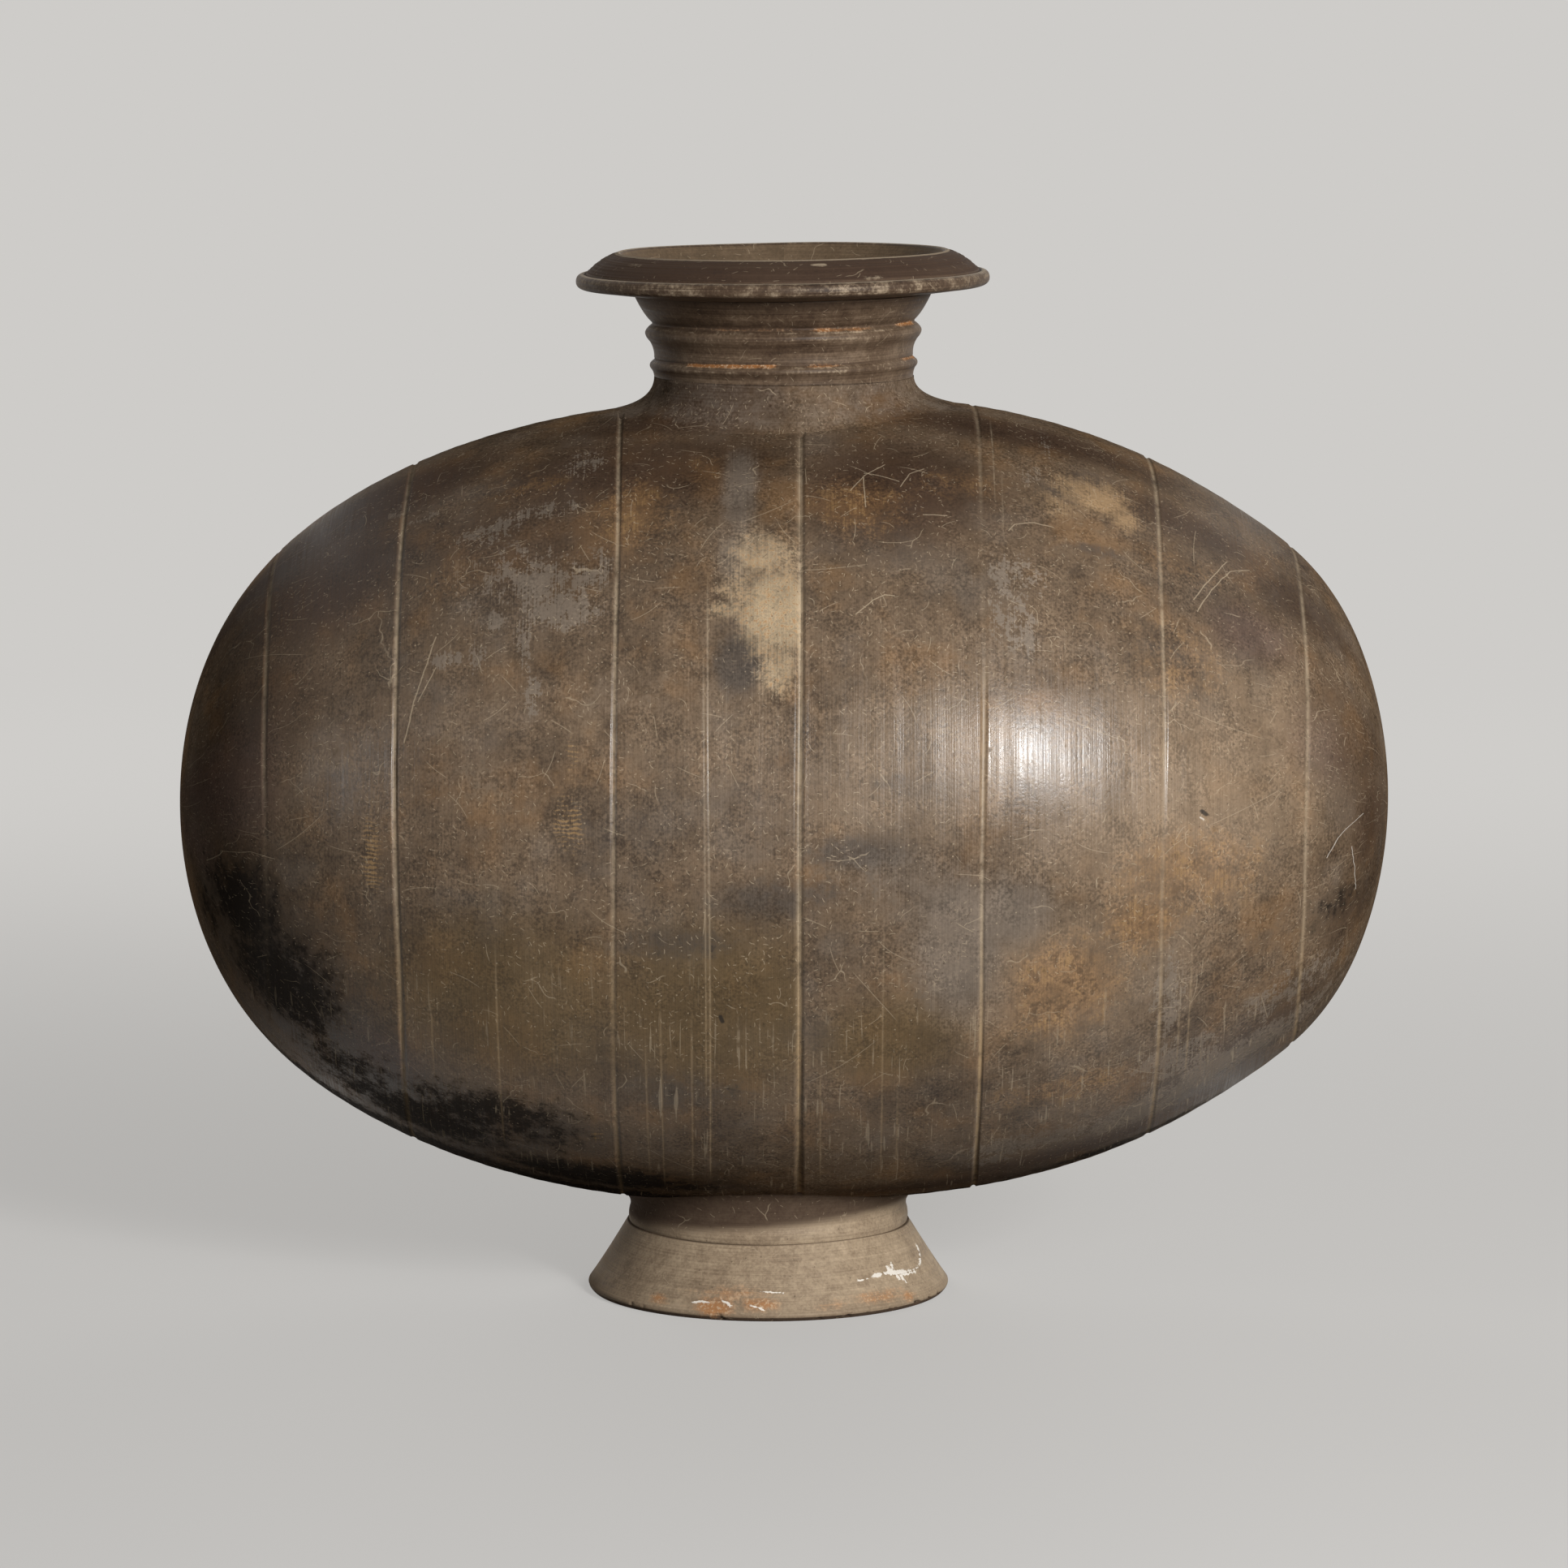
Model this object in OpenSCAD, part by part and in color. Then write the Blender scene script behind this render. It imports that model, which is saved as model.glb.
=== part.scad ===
// Cocoon jar: a hollow jar of fired clay, lying like a silkworm's cocoon on a splayed foot.
// Two bowls are thrown, each with one egg-shaped end, and joined rim to rim into the body.
// A thrown neck, a mouth ring and a foot ring are then fixed to it with soft clay.
// Millimetres, +Z up, long axis along X, the near side towards -Y.
// Origin: middle of the jar's outline, on the surface that it stands on.

/* [Body] */
// Length of the body, end to end
body_length = 480; // [440:1:540]
// Place of the seam between the two halves, right of the middle
seam_x = 6; // [-8:0.5:8]
// Outer radius at the seam, where the body is widest
seam_radius = 160; // [145:1:180]
// Thickness of the body wall
body_wall = 8; // [5:0.5:11]

/* [Shape of the left half] */
// How long the left half stays wide before it curves in
left_length_power = 2.48; // [2:0.02:3]
// How round the left half is across its curve
left_round_power = 2.08; // [1.8:0.02:2.6]
// How much blunter the left end is than a plain egg
left_blunt = 0.054; // [0:0.002:0.2]
// Distance from the left end that the bluntness reaches
left_blunt_reach = 48; // [20:1:70]

/* [Shape of the right half] */
// How long the right half stays wide before it curves in
right_length_power = 2.36; // [2:0.02:3]
// How round the right half is across its curve
right_round_power = 1.98; // [1.8:0.02:2.6]
// How much blunter the right end is than a plain egg
right_blunt = 0.156; // [0:0.002:0.2]
// Distance from the right end that the bluntness reaches
right_blunt_reach = 39; // [20:1:70]

/* [Turned grooves] */
// Width of a groove
groove_width = 2.4; // [1:0.1:5]
// Depth of a groove
groove_depth = 0.8; // [0.3:0.1:2]
// Width of the groove that hides the seam
seam_groove_width = 3.2; // [1:0.1:6]
// Depth of the groove that hides the seam
seam_groove_depth = 1; // [0.3:0.1:2]
// First groove on the left half, from the seam
left_groove_1 = 70; // [60:0.5:90]
// Second groove on the left half, from the seam
left_groove_2 = 153; // [110:0.5:170]
// Third groove on the left half, from the seam
left_groove_3 = 206; // [180:0.5:212]
// First groove on the right half, from the seam
right_groove_1 = 69; // [60:0.5:90]
// Second groove on the right half, from the seam
right_groove_2 = 138; // [110:0.5:160]
// Third groove on the right half, from the seam
right_groove_3 = 195; // [175:0.5:203]

/* [Seam coil] */
// Width of the clay coil that seals the seam inside
coil_width = 18; // [10:1:30]
// How far the coil stands proud of the inner wall
coil_rise = 4; // [2:0.5:8]

/* [Neck] */
// Outer radius of the neck where it enters the body
neck_radius = 51.1; // [47:0.1:53]
// Radius of the round bore through the neck
neck_bore_radius = 45; // [38:0.1:46]
// How far the neck reaches below the crown of the body, into the hole for it
tenon_depth = 12; // [9:0.5:16]
// Height of the lower ridge above the clay fillet round the neck
lower_ridge_lift = 4; // [2:0.1:8]
// How far the lower ridge stands out from the neck
lower_ridge_rise = 1.5; // [0.5:0.1:4]
// Height of the ledge on top of the lower ridge
lower_ledge = 1.9; // [0.5:0.1:4]
// Height of the upper ridge above the lower one
upper_ridge_lift = 14.4; // [11:0.1:20]
// How far the upper ridge stands out from the neck
upper_ridge_rise = 3.3; // [1:0.1:6]
// Height over which the neck swells out to the upper ridge
upper_ridge_swell = 8; // [3:0.1:8.5]
// Height of the ledge on top of the upper ridge
upper_ledge = 2.9; // [0.5:0.1:5]
// Outer radius in the notch above the upper ridge
notch_radius = 52; // [51:0.1:53.5]
// Height of the wide part of the neck, from the notch to the mouth ring
flare_height = 11.8; // [6:0.1:20]
// Outer radius at the top of the neck
neck_top_radius = 58.8; // [55:0.1:64]
// Inner radius at the top of the neck
neck_top_bore_radius = 50.5; // [47:0.1:52]
// Height of the funnel at the top of the bore
funnel_height = 13; // [6:0.5:18]

/* [Mouth] */
// Height of the mouth ring
mouth_height = 16.6; // [14.5:0.1:24]
// Radius of the mouth at its edge
mouth_radius = 64.2; // [58:0.1:68]
// Outer radius of the bead round the mouth ring
bead_radius = 81.6; // [78:0.1:92]
// Height of the bead
bead_height = 6.8; // [5:0.1:9]
// Height of the bead's lower side above the top of the neck
bead_lift = 2; // [1:0.1:4]
// Width of the bead, from its outer side to the groove inside it
bead_width = 3.8; // [3:0.1:5]
// Depth of the groove inside the bead
bead_groove_depth = 0.9; // [0.3:0.1:2]

/* [Soft clay at the joints] */
// Gap that the slip fills between the pieces
slip_gap = 0.3; // [0.2:0.05:0.5]
// Height of the clay fillet round the neck, above the crown of the body
neck_fillet_height = 8; // [5:0.1:14]
// Distance from the neck's middle to the edge of the fillet, along the body
neck_fillet_length = 71; // [62:0.5:85]
// Distance from the neck's middle to the edge of the fillet, across the body
neck_fillet_width = 57; // [56:0.5:80]
// Thickness of the clay at the edges of the fillet and of the mouth
clay_edge = 0.6; // [0.3:0.05:1.5]
// Height of the clay collar between foot and body
collar_height = 10; // [6:0.1:20]
// Outer radius of the collar
collar_radius = 55; // [50:0.1:58]
// How far the collar bulges
collar_bulge = 1.4; // [0:0.1:3]

/* [Foot] */
// Height of the foot ring
foot_height = 27.4; // [20:0.1:45]
// Place of the foot, right of the middle of the jar
foot_x = -6.3; // [-12:0.1:12]
// Outer radius at the top of the foot ring
foot_top_radius = 56.4; // [52:0.1:62]
// Outer radius at the tip of the foot ring
foot_tip_radius = 72.4; // [66:0.1:90]
// Height of the tip above the ground
foot_tip_height = 2.3; // [1:0.1:6]
// Outer radius at which the side of the foot would bend, if it bent at one place
foot_bend_radius = 66.5; // [62:0.1:70]
// Height of that bend above the ground
foot_bend_height = 10.6; // [7:0.1:16]
// Width of the flat ring that the foot stands on
foot_rest_width = 5.4; // [3:0.1:9]
// How far the foot is cut back under its tip
foot_bevel = 1.6; // [0.5:0.1:4]
// Inner radius at the top of the foot ring and through the collar
foot_bore_radius = 45; // [36:0.1:47]

/* [Hidden] */
$fn = 96;

left = -1;
right = 1;
outline_steps = 36;
hollow_steps = 24;
curve_steps = 8;
fillet_sides = 64;
fine_sides = 240;

axis_z = foot_height + collar_height + seam_radius;
crown_z = axis_z + seam_radius;
inner_radius = seam_radius - body_wall;
left_length = body_length / 2 + seam_x;
right_length = body_length / 2 - seam_x;
left_grooves = [left_groove_1, left_groove_2, left_groove_3];
right_grooves = [right_groove_1, right_groove_2, right_groove_3];

// Heights of the neck above the crown of the body
lower_ridge = neck_fillet_height + lower_ridge_lift;
upper_ridge = lower_ridge + upper_ridge_lift;
notch = upper_ridge + upper_ledge;
neck_height = notch + flare_height;

clay_dark = [0.36, 0.30, 0.23];
clay_brown = [0.40, 0.33, 0.26];
clay_grey = [0.52, 0.48, 0.41];
clay_raw = [0.47, 0.42, 0.36];

// Points of a curve that leaves p0 towards p1 and arrives at p2 from it
function curve(p0, p1, p2) =
    [for (i = [0 : curve_steps]) let (t = i / curve_steps)
        (1 - t) * (1 - t) * p0 + 2 * t * (1 - t) * p1 + t * t * p2];

function half_length(side) = side == left ? left_length : right_length;
function length_power(side) = side == left ? left_length_power : right_length_power;
function round_power(side) = side == left ? left_round_power : right_round_power;
function blunt(side) = side == left ? left_blunt : right_blunt;
function blunt_reach(side) = side == left ? left_blunt_reach : right_blunt_reach;

// Radius of half an egg at distance d from its wide end: a superellipse, blunted towards the tip
function egg_radius(side, length, radius, d) =
    let (open = max(0, 1 - pow(d / length, length_power(side))),
         swell = 1 + blunt(side) * exp(-pow((length - d) / blunt_reach(side), 2)))
    radius * pow(open, 1 / round_power(side)) * swell;

// Outline of half an egg from its wide end to its tip, as [radius, distance from the seam]
function egg_outline(side, length, radius, steps) =
    [for (i = [0 : steps]) let (d = length * pow(sin(90 * i / steps), 2 / length_power(side)))
        [i == steps ? 0 : egg_radius(side, length, radius, d), d]];

// Radius of the outside of a half at distance d from the seam
function body_radius(side, d) = egg_radius(side, half_length(side), seam_radius, d);

// Height of the body's upper side above the point x, y
function body_top(x, y) =
    let (side = x < seam_x ? left : right,
         r = body_radius(side, abs(x - seam_x)))
    axis_z + sqrt(max(0, r * r - y * y));

// Puts a shape that is turned about Z into the body, with its Z along the long axis of a half
module along_body(side)
    translate([seam_x, 0, axis_z]) rotate([0, side * 90, 0]) children();

// The cross-section of a groove: a round of the given width and depth, cut into radius r
module groove_section(r, d, width, depth) {
    round_radius = (width * width / 4 + depth * depth) / (2 * depth);
    translate([r + round_radius - depth, d]) circle(r = round_radius, $fn = 32);
}

module bowl_section(side, grooves) {
    outside = egg_outline(side, half_length(side), seam_radius, outline_steps);
    hollow = egg_outline(side, half_length(side) - body_wall, inner_radius, hollow_steps);
    difference() {
        polygon(concat(outside, [for (i = [hollow_steps : -1 : 0]) hollow[i]]));
        groove_section(seam_radius, 0, seam_groove_width, seam_groove_depth);
        for (d = grooves)
            groove_section(body_radius(side, d), d, groove_width, groove_depth);
    }
}

// The round hole that is cut for the neck through the upper side of both halves
module neck_hole()
    translate([0, 0, axis_z]) cylinder(r = neck_radius + slip_gap, h = seam_radius + body_wall);

module body_half(side, grooves)
    difference() {
        along_body(side) rotate_extrude() bowl_section(side, grooves);
        neck_hole();
    }

// The outside of one half, filled, which cuts the seats of the pieces that are set on the body
module body_fill(side)
    along_body(side) rotate_extrude($fn = fine_sides)
        polygon(concat(egg_outline(side, half_length(side), seam_radius, outline_steps), [[0, 0]]));

module left_body_half() color(clay_dark) body_half(left, left_grooves);

module right_body_half() color(clay_brown) body_half(right, right_grooves);

// A coil of clay pressed along the inside of the seam, stopping at the hole for the neck
module seam_coil() {
    seat = inner_radius - slip_gap;
    half = coil_width / 2;
    color(clay_raw) difference() {
        along_body(right) rotate_extrude()
            polygon(curve([seat, half], [seat - 2 * coil_rise, 0], [seat, -half]));
        translate([0, 0, axis_z]) cylinder(r = neck_radius + coil_rise, h = seam_radius);
    }
}

// A ridge turned on the neck: swells out over a height to its crest, ends in a ledge on top
function ridge(crest, rise, swell, ledge_end) =
    let (middle = [neck_radius + rise / 2, crest - swell / 2])
    concat(curve([neck_radius, crest - swell], [neck_radius, middle[1] - swell / 4], middle),
           curve(middle, [neck_radius + rise, middle[1] + swell / 4], [neck_radius + rise, crest]),
           [ledge_end]);

// Neck: a tube with two ridges that widens towards the mouth, inside and outside
module neck_collar() {
    lower = ridge(lower_ridge, lower_ridge_rise, lower_ridge_lift,
                  [neck_radius, lower_ridge + lower_ledge]);
    upper = ridge(upper_ridge, upper_ridge_rise, upper_ridge_swell, [notch_radius, notch]);
    funnel = curve([neck_top_bore_radius, neck_height], [neck_bore_radius, neck_height - funnel_height / 2],
                   [neck_bore_radius, neck_height - funnel_height]);
    color(clay_brown) translate([0, 0, crown_z]) rotate_extrude()
        polygon(concat([[neck_bore_radius, -tenon_depth], [neck_radius, -tenon_depth]],
                       lower, upper, [[neck_top_radius, neck_height]], funnel));
}

// Section of the clay fillet on one side of the neck: it leaves the neck upright and runs out
// along the slope of the body, so its foot rises and falls with the saddle of the body
function fillet_section(angle) =
    let (inner = neck_radius + slip_gap,
         outer = 1 / norm([cos(angle) / neck_fillet_length, sin(angle) / neck_fillet_width]),
         height = function (r) body_top(r * cos(angle), r * sin(angle)),
         slope = (height(outer - clay_edge) - height(outer + clay_edge)) / (2 * clay_edge),
         top = [inner + clay_edge, crown_z + neck_fillet_height],
         foot = [outer, height(outer) + clay_edge],
         turn = [top[0], foot[1] + slope * (outer - top[0])],
         low = height(outer) - body_wall / 2)
    concat([[inner, low], [inner, top[1]]], curve(top, turn, foot), [[outer, low]]);

module neck_fillet() {
    angles = [for (i = [0 : fillet_sides - 1]) 360 * i / fillet_sides];
    count = len(fillet_section(0));
    points = [for (a = angles) for (p = fillet_section(a)) [p[0] * cos(a), p[0] * sin(a), p[1]]];
    function at(i, k) = (i % fillet_sides) * count + k % count;
    faces = [for (i = [0 : fillet_sides - 1], k = [0 : count - 1])
        each [[at(i, k), at(i, k + 1), at(i + 1, k)], [at(i + 1, k), at(i, k + 1), at(i + 1, k + 1)]]];
    color(clay_brown) difference() {
        polyhedron(points, faces);
        body_fill(left);
        body_fill(right);
    }
}

// Mouth: a ring that funnels out of the neck, slopes down outside and ends in a rounded bead
module mouth_ring() {
    bead_top = bead_lift + bead_height;
    bead_middle = bead_lift + bead_height / 2;
    groove = bead_radius - bead_width;
    funnel = curve([neck_top_bore_radius, 0], [(neck_top_bore_radius + mouth_radius) / 2, mouth_height / 2],
                   [mouth_radius - clay_edge, mouth_height - clay_edge]);
    slope = curve([mouth_radius + clay_edge, mouth_height],
                  [(mouth_radius + groove) / 2, mouth_height - 2 * clay_edge],
                  [groove - clay_edge, bead_top + clay_edge]);
    bead_upper = curve([groove + clay_edge, bead_top], [bead_radius, bead_top], [bead_radius, bead_middle]);
    bead_lower = curve([bead_radius, bead_middle], [bead_radius, bead_lift], [groove, bead_lift]);
    color(clay_brown) translate([0, 0, crown_z + neck_height]) rotate_extrude()
        polygon(concat(funnel, slope, [[groove, bead_top - bead_groove_depth]], bead_upper, bead_lower,
                       [[neck_top_radius, 0]]));
}

// Clay collar between foot and body: bulges outside, flat below, cut to the body above
module foot_collar() {
    body_bottom = foot_height + collar_height;
    reach = axis_z - sqrt(pow(seam_radius, 2) - pow(collar_radius, 2)) + body_wall / 2;
    bulge = curve([collar_radius, foot_height],
                  [collar_radius + 2 * collar_bulge, foot_height + collar_height / 2],
                  [collar_radius, body_bottom]);
    color(clay_grey) difference() {
        translate([foot_x, 0, 0]) rotate_extrude()
            polygon(concat([[foot_bore_radius, foot_height]], bulge,
                           [[collar_radius, reach], [foot_bore_radius, reach]]));
        body_fill(left);
        body_fill(right);
    }
}

// Foot: a splayed hollow ring with a sharp tip, cut back below it to a flat resting ring
module foot_ring() {
    rest_outer = foot_tip_radius - foot_bevel;
    outside = curve([foot_top_radius, foot_height], [foot_bend_radius, foot_bend_height],
                    [foot_tip_radius, foot_tip_height]);
    color(clay_grey) translate([foot_x, 0, 0]) rotate_extrude()
        polygon(concat(outside, [[rest_outer, 0], [rest_outer - foot_rest_width, 0],
                                 [foot_bore_radius, foot_height]]));
}

left_body_half();
right_body_half();
seam_coil();
neck_collar();
neck_fillet();
mouth_ring();
foot_collar();
foot_ring();
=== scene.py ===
import math

import bmesh
import bpy
import numpy as np
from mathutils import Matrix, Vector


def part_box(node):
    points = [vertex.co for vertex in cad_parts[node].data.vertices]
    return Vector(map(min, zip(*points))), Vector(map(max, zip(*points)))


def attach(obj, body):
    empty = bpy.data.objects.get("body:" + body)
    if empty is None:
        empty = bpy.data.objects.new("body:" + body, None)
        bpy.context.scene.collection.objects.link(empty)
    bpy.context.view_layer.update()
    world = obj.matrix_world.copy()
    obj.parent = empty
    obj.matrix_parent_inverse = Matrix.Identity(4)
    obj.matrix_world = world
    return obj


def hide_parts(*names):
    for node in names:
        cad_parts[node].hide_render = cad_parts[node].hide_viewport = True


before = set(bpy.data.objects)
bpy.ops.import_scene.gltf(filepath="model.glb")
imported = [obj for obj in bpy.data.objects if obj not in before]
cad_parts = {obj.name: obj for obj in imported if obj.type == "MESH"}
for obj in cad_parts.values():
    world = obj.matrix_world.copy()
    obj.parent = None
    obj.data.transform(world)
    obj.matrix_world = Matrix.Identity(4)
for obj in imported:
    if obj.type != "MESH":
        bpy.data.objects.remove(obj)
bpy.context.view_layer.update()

mm = 0.001  # shapes are worked out in millimetres and go into the meshes in metres
print("frame loaded,", len(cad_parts), "nodes")


# Corners of a node of the frame, in millimetres
def boxOf(node):
    low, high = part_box(node)
    return np.array(low) / mm, np.array(high) / mm


# A colour given from 0 to 255, as the linear light that a shader takes
def tone(red, green, blue):
    part = np.array([red, green, blue]) / 255
    light = np.where(part < 0.04045, part / 12.92, ((part + 0.055) / 1.055) ** 2.4)
    return (*light.tolist(), 1.0)


# Soft lumps: sine waves in seeded directions, lengths spread between the shortest and the longest, summed
def lumps(points, seed, shortest, longest, count=16):
    dice = np.random.default_rng(seed)
    way = dice.normal(size=(count, 3))
    way /= np.linalg.norm(way, axis=1, keepdims=True)
    way *= 2 * np.pi / np.exp(dice.uniform(np.log(shortest), np.log(longest), (count, 1)))
    return np.sin(points @ way.T + dice.uniform(0, 2 * np.pi, count)).sum(-1) / math.sqrt(count)


# Smooth step: 0 below low, 1 above high, and 3t^2 - 2t^3 between them
def ease(value, low, high):
    t = np.clip((value - low) / (high - low), 0, 1)
    return t * t * (3 - 2 * t)


# Bell: 1 at a place, falling off to either side as exp(-t^2)
def bell(value, at, wide):
    return np.exp(-((value - at) / wide) ** 2)


# Quadratic curve from first to last that leaves and arrives along the lines to the middle; each is a point, a
# number, or a row of numbers for as many curves side by side
def bend(first, middle, last, count=14):
    t = np.linspace(0, 1, count)[:, None]
    return (1 - t) ** 2 * np.array(first) + 2 * t * (1 - t) * np.array(middle) + t ** 2 * np.array(last)


# A closed profile with points added along it, so that no step is longer than the one asked for
def closeSteps(parts, step, closest=0.02):
    line = np.vstack([np.atleast_2d(p) for p in parts])
    line = np.vstack([line, line[:1]])
    along = np.r_[0, np.cumsum(np.hypot(*np.diff(line, axis=0).T))]
    extra = np.maximum(np.ceil(np.diff(along) / step).astype(int), 1)
    share = np.concatenate([np.arange(n) / n for n in extra])
    places = np.repeat(along[:-1], extra) + share * np.repeat(np.diff(along), extra)
    places = places[np.r_[True, np.diff(places) > closest]]
    return np.stack([np.interp(places, along, line[:, 0]), np.interp(places, along, line[:, 1])], 1)


# Quads that join each point of a grid to the next along rows and columns, wrapped round where asked
def gridQuads(index, wrapRows=False, wrapColumns=False):
    if wrapRows:
        index = np.vstack([index, index[:1]])
    if wrapColumns:
        index = np.hstack([index, index[:, :1]])
    corners = [index[:-1, :-1], index[1:, :-1], index[1:, 1:], index[:-1, 1:]]
    return np.stack(corners, -1).reshape(-1, 4)


# Merges the doubled points of a mesh and turns its faces outwards
def cleanMesh(mesh, closest):
    work = bmesh.new()
    work.from_mesh(mesh)
    bmesh.ops.remove_doubles(work, verts=work.verts, dist=closest)
    bmesh.ops.recalc_face_normals(work, faces=work.faces)
    work.to_mesh(mesh)
    work.free()


# Makes a mesh piece from points, quads and marks; a mark has one value for all points or one for each
def makePiece(name, node, points, quads, marks, material):
    mesh = bpy.data.meshes.new(name)
    mesh.vertices.add(len(points))
    mesh.vertices.foreach_set("co", (points * mm).astype(np.float32).ravel())
    mesh.loops.add(quads.size)
    mesh.loops.foreach_set("vertex_index", quads.astype(np.int32).ravel())
    mesh.polygons.add(len(quads))
    mesh.polygons.foreach_set("loop_start", np.arange(0, quads.size, 4, dtype=np.int32))
    mesh.update(calc_edges=True)
    for kind, values in marks.items():
        layer = mesh.attributes.new(kind, "FLOAT", "POINT")
        layer.data.foreach_set("value", np.broadcast_to(values, len(points)).astype(np.float32))
    cleanMesh(mesh, 2e-6)
    mesh.shade_smooth()
    mesh.materials.append(material)
    piece = bpy.data.objects.new(name, mesh)
    bpy.context.scene.collection.objects.link(piece)
    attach(piece, "root")
    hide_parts(node)
    mesh.calc_loop_triangles()
    print("made", name, "with", len(mesh.loop_triangles), "triangles")


# Way along the profile in metres: the steps from row to row, summed
def profileWay(points):
    steps = np.linalg.norm(np.diff(points, axis=0), axis=-1)
    return np.vstack([0 * steps[:1], np.cumsum(steps, 0)]).ravel() * mm


# Piece made of one grid, whose rows close round its profile and whose columns close round its axis unless told
# otherwise; each point also keeps its way along the profile as a mark
def gridPiece(name, node, points, marks, material, wrapColumns=True):
    index = np.arange(points[..., 0].size).reshape(points.shape[:2])
    quads = gridQuads(index, True, wrapColumns)
    marks = {kind: np.ravel(values) for kind, values in marks.items()}
    marks["along"] = profileWay(points)
    makePiece(name, node, points.reshape(-1, 3), quads, marks, material)


# One output socket of a material; operators add Math nodes, and node() adds any other node
class Wire:
    def __init__(self, tree, socket=None):
        self.tree = tree
        self.socket = socket

    # Adds a node of any kind: its settings first, then the values or links of its sockets
    def node(self, kind, settings=None, sockets=None, out=0):
        made = self.tree.nodes.new(kind)
        for name, value in (settings or {}).items():
            if name == "stops":
                self.setStops(made.color_ramp, value)
            else:
                setattr(made, name, value)
        for key, value in (sockets or {}).items():
            if isinstance(value, Wire):
                self.tree.links.new(value.socket, made.inputs[key])
            else:
                made.inputs[key].default_value = value
        return Wire(self.tree, made.outputs[out])

    # Sets a colour ramp's stops, each a place and a colour
    def setStops(self, ramp, stops):
        while len(ramp.elements) < len(stops):
            ramp.elements.new(1.0)
        for element, (place, colour) in zip(ramp.elements, stops):
            element.position = place
            element.color = colour

    # Another output of the node that this wire leaves
    def outlet(self, name):
        return Wire(self.tree, self.socket.node.outputs[name])

    # Math node on one or two values
    def maths(self, operation, first, second=0.0, clamp=False):
        settings = {"operation": operation, "use_clamp": clamp}
        return self.node("ShaderNodeMath", settings, {0: first, 1: second})

    def __add__(self, other):
        return self.maths("ADD", self, other)

    def __radd__(self, other):
        return self.maths("ADD", other, self)

    def __sub__(self, other):
        return self.maths("SUBTRACT", self, other)

    def __rsub__(self, other):
        return self.maths("SUBTRACT", other, self)

    def __mul__(self, other):
        return self.maths("MULTIPLY", self, other)

    def __rmul__(self, other):
        return self.maths("MULTIPLY", other, self)

    def __truediv__(self, other):
        return self.maths("DIVIDE", self, other)

    def __abs__(self):
        return self.maths("ABSOLUTE", self)

    # The greater of this value and another
    def most(self, other):
        return self.maths("MAXIMUM", self, other)

    # Smooth step of this value between low and high, which may run downwards
    def fade(self, low, high):
        sockets = {"Value": self, "From Min": low, "From Max": high}
        return self.node("ShaderNodeMapRange", {"interpolation_type": "SMOOTHSTEP"}, sockets)

    # This place stretched by a different amount along each axis
    def stretch(self, along):
        return self.node("ShaderNodeVectorMath", {"operation": "MULTIPLY"}, {0: self, 1: along})

    # This place moved on by a fixed step, so that a second noise doesn't repeat the first
    def step(self, by):
        return self.node("ShaderNodeVectorMath", {"operation": "ADD"}, {0: self, 1: by})

    # This place pushed about by a noise, by up to about the given reach; sizes in millimetres
    def waver(self, size, reach, flat=False):
        sockets = {"Vector": self, "Scale": 1 / (size * mm), "Detail": 2.0}
        noise = self.node("ShaderNodeTexNoise", None, sockets, "Color")
        red = noise.node("ShaderNodeSeparateColor", None, {0: noise}, "Red")
        parts = {0: red - 0.5, 1: red.outlet("Green") - 0.5, 2: red.outlet("Blue") - 0.5}
        push = red.node("ShaderNodeCombineXYZ", None, parts)
        most = 2 * reach * mm
        sockets = {0: push, 1: (most, most, 0.0 if flat else most), 2: self}
        return push.node("ShaderNodeVectorMath", {"operation": "MULTIPLY_ADD"}, sockets)

    # Cloudy noise at this place, with blots of about the given size in millimetres
    def blots(self, size, detail=3.0, rough=0.55):
        sockets = {"Vector": self, "Scale": 1 / (size * mm), "Detail": detail, "Roughness": rough}
        return self.node("ShaderNodeTexNoise", None, sockets)

    # Colour mixed over another one by a factor
    def over(self, factor, colour):
        settings = {"data_type": "RGBA", "clamp_factor": True}
        return self.node("ShaderNodeMix", settings, {0: factor, 6: self, 7: colour}, 2)

    # Colour made lighter or darker by a factor that changes over the surface
    def shade(self, low, high, factor):
        settings = {"data_type": "RGBA", "blend_type": "MULTIPLY"}
        sockets = {0: factor, 6: (low, low, low, 1), 7: (high, high, high, 1)}
        grey = self.node("ShaderNodeMix", {"data_type": "RGBA"}, sockets, 2)
        return self.node("ShaderNodeMix", settings, {0: 1.0, 6: self, 7: grey}, 2)

    # One of the piece's own marks
    def mark(self, name):
        return self.node("ShaderNodeAttribute", {"attribute_name": name}, None, "Fac")


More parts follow.
